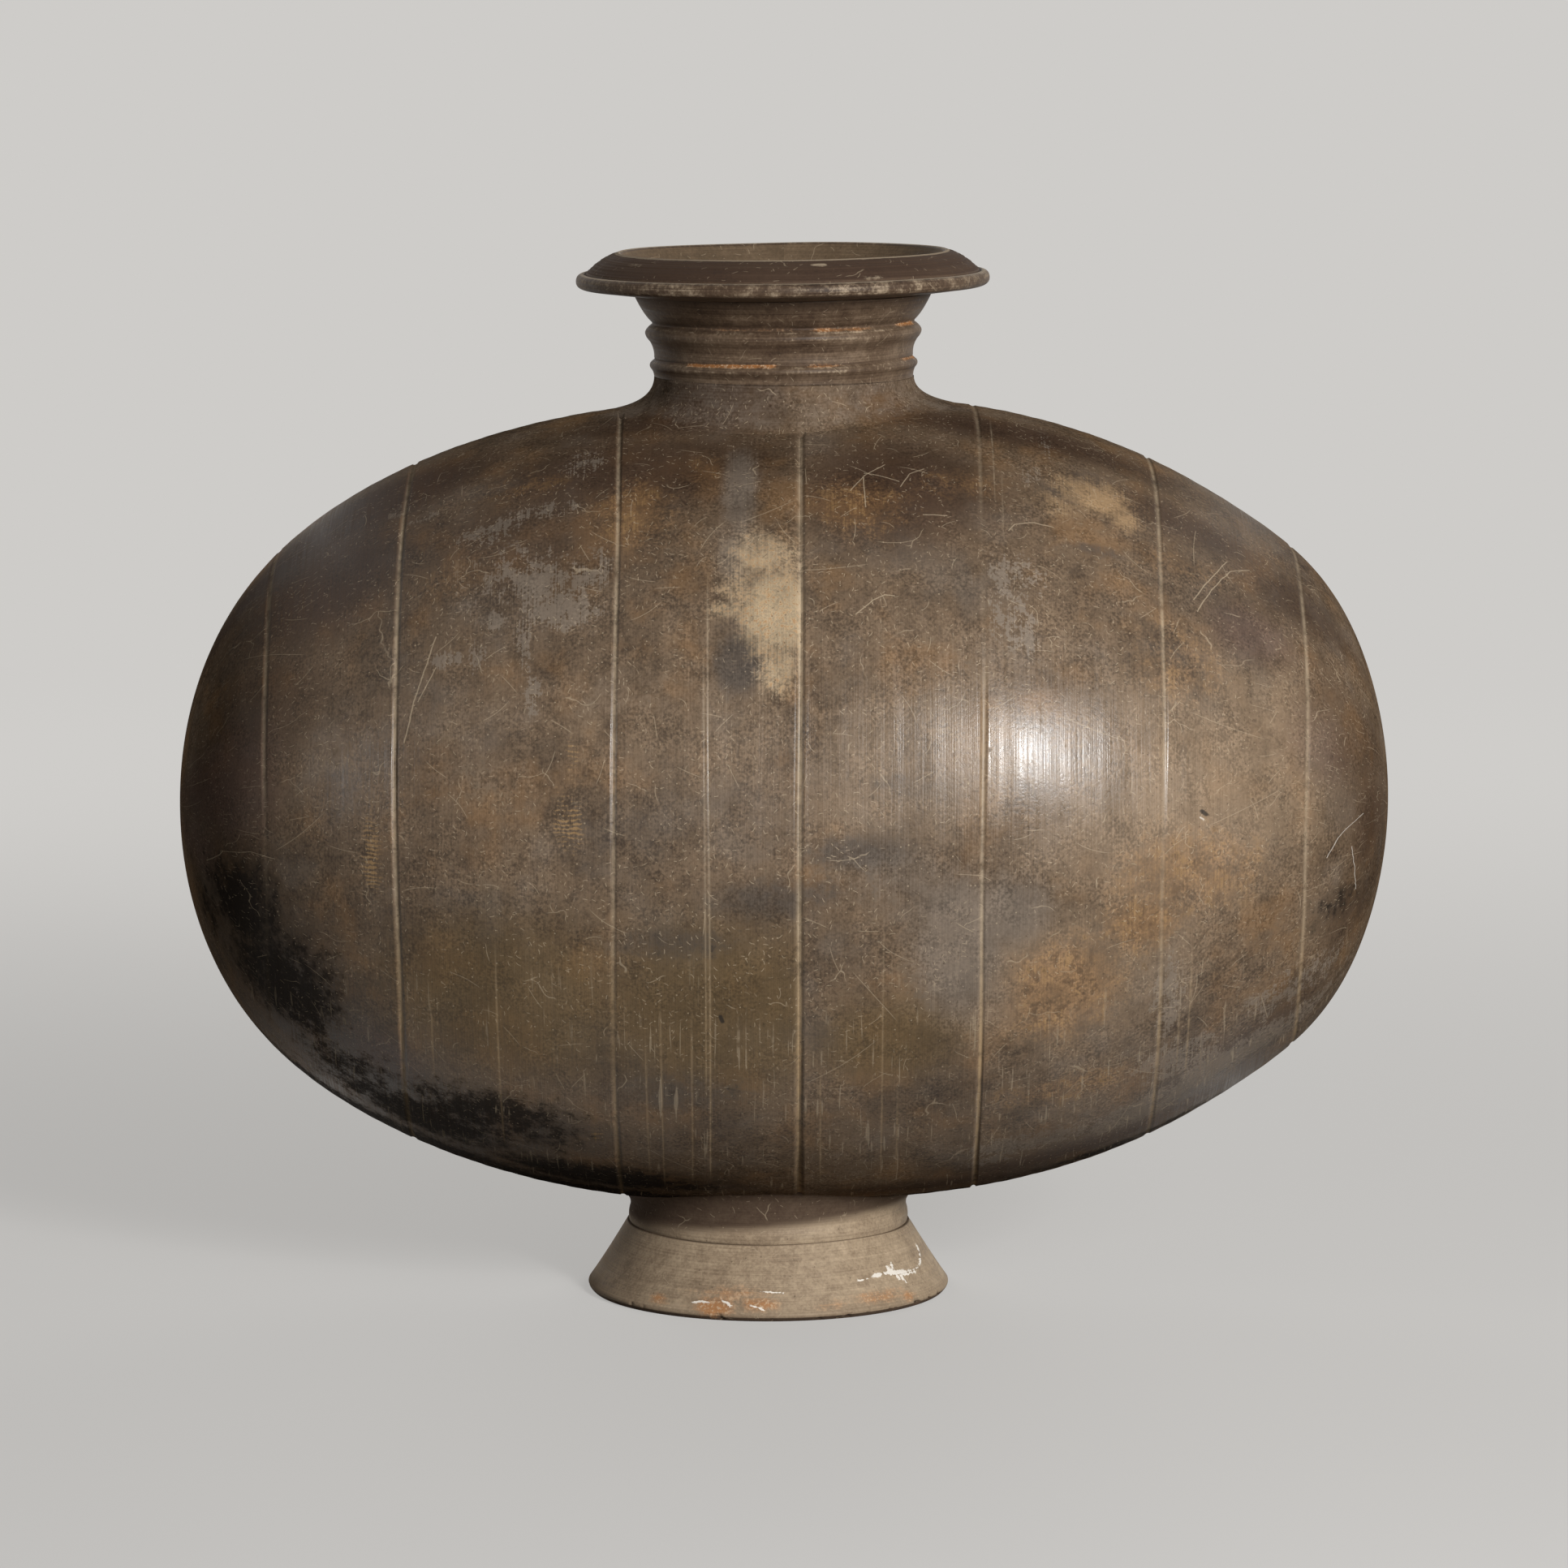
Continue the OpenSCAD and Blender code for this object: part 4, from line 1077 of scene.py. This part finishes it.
# Foot: a splayed ring; lime stands proud of it, and its lower edge is chipped by seeded lumps along the rim
def footPiece(material):
    f = footRing
    tip, tipHeight = f["tipRadius"], f["tipHeight"]
    profile = closeSteps([
        bend((f["topRadius"], f["height"]), f["bend"], (tip - 0.3, tipHeight + 0.6), 60),
        bend((tip - 0.3, tipHeight + 0.6), (tip + 0.2, 1.6), (f["restOuter"], 0.0), 8),
        (f["restInner"], 0.0), (f["bore"], f["height"]),
    ], f["step"])
    points, angle, r, h = turned(profile, f["columns"], f["atX"])
    a = np.radians(angle)
    out = r > np.interp(h, [0, f["height"]], f["parting"])
    lime, iron = np.zeros_like(h), np.zeros_like(h)
    for line, wide in f["lime"]:
        lime = np.maximum(lime, bell(lineDistance(line, a * f["markRadius"], h, f["markRadius"]), 0, wide))
    for atAngle, atHeight, wide, tall, strength in f["iron"]:
        far = np.radians((angle - atAngle + 180) % 360 - 180) * f["markRadius"]
        iron = np.maximum(iron, strength * bell(far, 0, wide) * bell(h, atHeight, tall))
    rim = bell(h, 1.2, 2.2) * (r > 60)
    chip = ease(lumps(points, 21, 3.0, 12.0, 24) + 0.5 * lumps(points, 22, 14, 40), 0.5, 1.5) * rim
    broken = chip * (h > 0.2)  # the face that the jar stands on stays flat
    push = f["crust"] * lime * out - f["chips"] * broken
    points[..., 0] += push * np.sin(a)
    points[..., 1] -= push * np.cos(a)
    waver = f["waver"] * (h > 3) * lumps(points, 5, *f["waverLengths"]) * (h / f["height"])
    points[..., 2] += f["chipLift"] * broken + waver
    worn = 0.28 * bell(h, 3.4, 1.0) * (0.7 + 0.4 * lumps(points, 23, 5, 20))
    # darker along the joint at the top, and painted shade under the lower edge and its chips
    dirt = 0.7 * bell(h, f["height"], 0.3) * out + (h < 1.5) * (0.9 + 0.5 * chip)
    # painted shade on the left side, away from the key lamp; darker towards the bottom
    dirt = dirt + (0.4 * ease(-angle, 48, 85) + 0.3 * (1 - ease(h, 3, 8))) * out
    marks = {
        "iron": iron * out, "lime": lime * out, "inside": 0.8 * (1.0 - out),
        "bare": worn * out + 0.5 * chip, "dirt": dirt,
    }
    gridPiece("footRing", "foot_ring", points, marks, material)


collarSet = {
    "radius": 55.0, "bulge": 0.7, "bandTop": 33.4, "reach": 60.5, "inner": 52.0, "columns": 260, "rows": 16,
    "under": 3.5,  # how deep its upper face lies in the wall
}


# Collar: at each angle a band that bulges above the foot, then a hollow curve out to the belly of the body;
# its upper edge is tucked into the wall
def collarPiece(material):
    k, f = collarSet, footRing
    a = np.linspace(0, 2 * math.pi, k["columns"], endpoint=False)[None, :]
    belly = lambda r: bodySurface(f["atX"] + r * np.cos(a), r * np.sin(a), -1)
    one = 0 * a + 1
    edgeZ = belly(k["reach"])
    start, end = (k["radius"] + 0.7, f["height"] - 0.1), (k["radius"] + 0.3, k["bandTop"])
    band = bend(start, (k["radius"] + 2 * k["bulge"], 30.2), end, k["rows"])
    upperR = bend(end[0], end[0] - 0.6, k["reach"], k["rows"])
    upperZ = bend(end[1], edgeZ - 2.0, edgeZ + 0.5, k["rows"])
    deep = [belly(inward) + k["under"] for inward in (k["inner"], f["bore"])]
    r = np.vstack([f["bore"] * one, band[:, :1] * one, upperR[1:] * one, k["inner"] * one, f["bore"] * one])
    z = np.vstack([(f["height"] - 0.2) * one, band[:, 1:] * one, upperZ[1:], *deep])
    x, y = r * np.cos(a), r * np.sin(a)
    marks = {
        "iron": 0.0, "lime": 0.0, "bare": 0.0, "inside": 0.8 * (r < 54),
        # darker along the joint with the foot, and painted shadow of the belly over the upper collar, slanted
        # as if lit from the right
        "dirt": 0.5 * bell(z, f["height"], 0.35) + 1.3 * ease(z - 0.08 * x, 29.5, 40),
    }
    points = np.stack([f["atX"] + x, y, z], -1)
    gridPiece("footCollar", "foot_collar", points, marks, material)


coilSet = {
    "width": 18.0, "rise": 4.0, "seat": 151.7, "gap": 55.1, "columns": 300, "sides": 28,
    "dents": 46, "dentDepth": 0.16,
    "finish": {
        "browns": [(96, 80, 64), (112, 95, 77), (124, 106, 87), (140, 122, 100)],
        "gloss": 0.75, "specular": 0.1, "drawn": 0.1, "grain": 0.1,
    },
}


# Coil: a flattened half-round bead of clay pressed along the seam inside, with finger dents; it thins to
# nothing at both ends, beside the neck's hole
def coilPiece(material):
    k = coilSet
    low = math.asin(k["gap"] / k["seat"])
    t = np.linspace(low, 2 * math.pi - low, k["columns"])[None, :]
    s = np.linspace(0, 2 * math.pi, k["sides"], endpoint=False)[:, None]
    thin = np.sqrt(np.clip(1 - np.abs(np.linspace(-1, 1, k["columns"])[None, :]) ** 40, 0, None))
    dent = 1 - k["dentDepth"] * (0.5 + 0.5 * np.sin(k["dents"] * t + 2 * np.sin(5 * t)))
    x = jarBody["seamX"] + 0.5 * k["width"] * np.cos(s) * thin
    upper, lower = np.clip(np.sin(s), 0, 1) * thin, np.clip(-np.sin(s), 0, 1) * thin
    radius = k["seat"] - k["rise"] * upper * dent - 0.4 * lower
    points = np.stack([x, -radius * np.sin(t), axisAt(x) + radius * np.cos(t)], -1)
    marks = {"iron": 0.0, "lime": 0.0, "bare": 0.0, "dirt": 0.0, "inside": 1.0}
    gridPiece("seamCoil", "seam_coil", points, marks, material, False)


neckFinish = thrownClay("neckClay", neckTube["finish"], 0.0)
footFinish = thrownClay("footClay", footRing["finish"], footRing["atX"])
rawFinish = thrownClay("rawClay", coilSet["finish"], 0.0)
filletFinish = burnishedClay("filletClay", lambda place: thrownSkin(place, 0.0), filletClay)
print("finishes of the thrown pieces ready")
neckPiece(neckFinish)
mouthPiece(neckFinish)
filletPiece(filletFinish)
collarPiece(footFinish)
footPiece(footFinish)
coilPiece(rawFinish)


# Camera: in front of the jar and a little above it, looking down by a few degrees
cameraSet = {"place": (0.0, -2.7495, 0.5707), "down": 7.615, "lens": 159.93}
eye = bpy.data.cameras.new("camera")
eye.lens = cameraSet["lens"]
eye.sensor_width = 36.0
eye.clip_end = 100.0
camera = bpy.data.objects.new("camera", eye)
camera.location = cameraSet["place"]
camera.rotation_euler = (math.radians(90 - cameraSet["down"]), 0, 0)
bpy.context.scene.collection.objects.link(camera)
bpy.context.scene.camera = camera

# Lamps: name, turn to the right of the camera, height angle, distance, width, height, watts, and whether
# it shows as a highlight; all face a point on the jar's axis
lampAim = 0.2
lamps = [
    ("key", 29.3, 17.6, 2.3, 0.22, 0.5, 35.0, True),
    ("wide", 29.3, 17.6, 2.4, 1.0, 1.2, 29.0, True),
    ("left", -66, 10, 2.4, 0.4, 0.7, 3.5, True),
    ("front", 8, 12, 3.2, 2.2, 1.2, 5.0, True),
    ("backLeft", -152, 16, 2.6, 1.2, 1.0, 26.0, False),
    ("backRight", 152, 16, 2.6, 1.2, 1.0, 26.0, False),
]
for name, turnBy, rise, away, wide, tall, watts, shines in lamps:
    lamp = bpy.data.lights.new(name, "AREA")
    lamp.shape = "RECTANGLE"
    lamp.size, lamp.size_y, lamp.energy = wide, tall, watts
    holder = bpy.data.objects.new(name, lamp)
    holder.visible_glossy = shines
    a, b = math.radians(turnBy), math.radians(rise)
    flat = away * math.cos(b)
    holder.location = (flat * math.sin(a), -flat * math.cos(a), lampAim + away * math.sin(b))
    holder.rotation_euler = (math.pi / 2 - b, 0, a)
    bpy.context.scene.collection.objects.link(holder)

# Floor: a wide pale disc that keeps the jar's shadow and runs out into the pale sky. Camera and mirror rays
# see both pale; other rays find them dim, so that they add little light to the jar.
stageSet = {
    "radius": 9.0, "rings": 24, "spokes": 72, "glow": 0.6, "glowGrows": (0.45, 2.2),
    "paper": (206, 204, 201), "dim": (72, 71, 70), "sky": (206, 204, 201), "skyLight": 0.05,
}


# 1 for rays that come from the camera, a mirror or through glass
def seenRays(wire):
    path = wire.tree.nodes.new("ShaderNodeLightPath")
    names = ("Is Camera Ray", "Is Glossy Ray", "Is Transmission Ray")
    camera, glossy, through = [Wire(wire.tree, path.outputs[name]) for name in names]
    return camera.most(glossy).most(through)


# Disc: rings of growing radius turned about the middle; its paper glows more the further it is from the jar
def floorDisc():
    ring = np.linspace(0, 1, stageSet["rings"])[:, None] ** 2 * stageSet["radius"]
    a = np.linspace(0, 2 * math.pi, stageSet["spokes"], endpoint=False)[None, :]
    points = np.stack([ring * np.cos(a), ring * np.sin(a), 0 * ring * a], -1).reshape(-1, 3)
    quads = gridQuads(np.arange(len(points)).reshape(stageSet["rings"], stageSet["spokes"]), wrapColumns=True)
    mesh = bpy.data.meshes.new("floor")
    mesh.from_pydata(points.tolist(), [], quads.tolist())
    cleanMesh(mesh, 1e-6)
    material, wire, shader = newFinish("floorPaper", 0.0)
    tree = wire.tree
    seen = seenRays(wire)
    place = wire.node("ShaderNodeTexCoord", None, None, "Object")
    far = place.node("ShaderNodeVectorMath", {"operation": "LENGTH"}, {0: place}, "Value")
    far = far.fade(*stageSet["glowGrows"])
    sockets = {0: seen, 6: tone(*stageSet["dim"]), 7: tone(*stageSet["paper"])}
    colour = wire.node("ShaderNodeMix", {"data_type": "RGBA"}, sockets, 2)
    tree.links.new(colour.socket, shader.inputs["Base Color"])
    shader.inputs["Roughness"].default_value = 0.9
    glow = wire.node("ShaderNodeEmission", None, {"Color": tone(*stageSet["sky"])}, "Emission")
    share = seen * (stageSet["glow"] + (1 - stageSet["glow"]) * far)
    both = wire.node("ShaderNodeMixShader", None, {0: share, 1: Wire(tree, shader.outputs[0]), 2: glow})
    tree.links.new(both.socket, tree.nodes["Material Output"].inputs["Surface"])
    mesh.materials.append(material)
    floor = bpy.data.objects.new("floor", mesh)
    bpy.context.scene.collection.objects.link(floor)


floorDisc()
world = bpy.data.worlds.new("sky")
world.use_nodes = True
bpy.context.scene.world = world
air = Wire(world.node_tree)
backdrop = world.node_tree.nodes["Background"]
backdrop.inputs["Color"].default_value = tone(*stageSet["sky"])
strength = seenRays(air) * (1 - stageSet["skyLight"]) + stageSet["skyLight"]
world.node_tree.links.new(strength.socket, backdrop.inputs["Strength"])
print("stage set")

bpy.context.scene.view_settings.view_transform = "Standard"
print("scene finished")
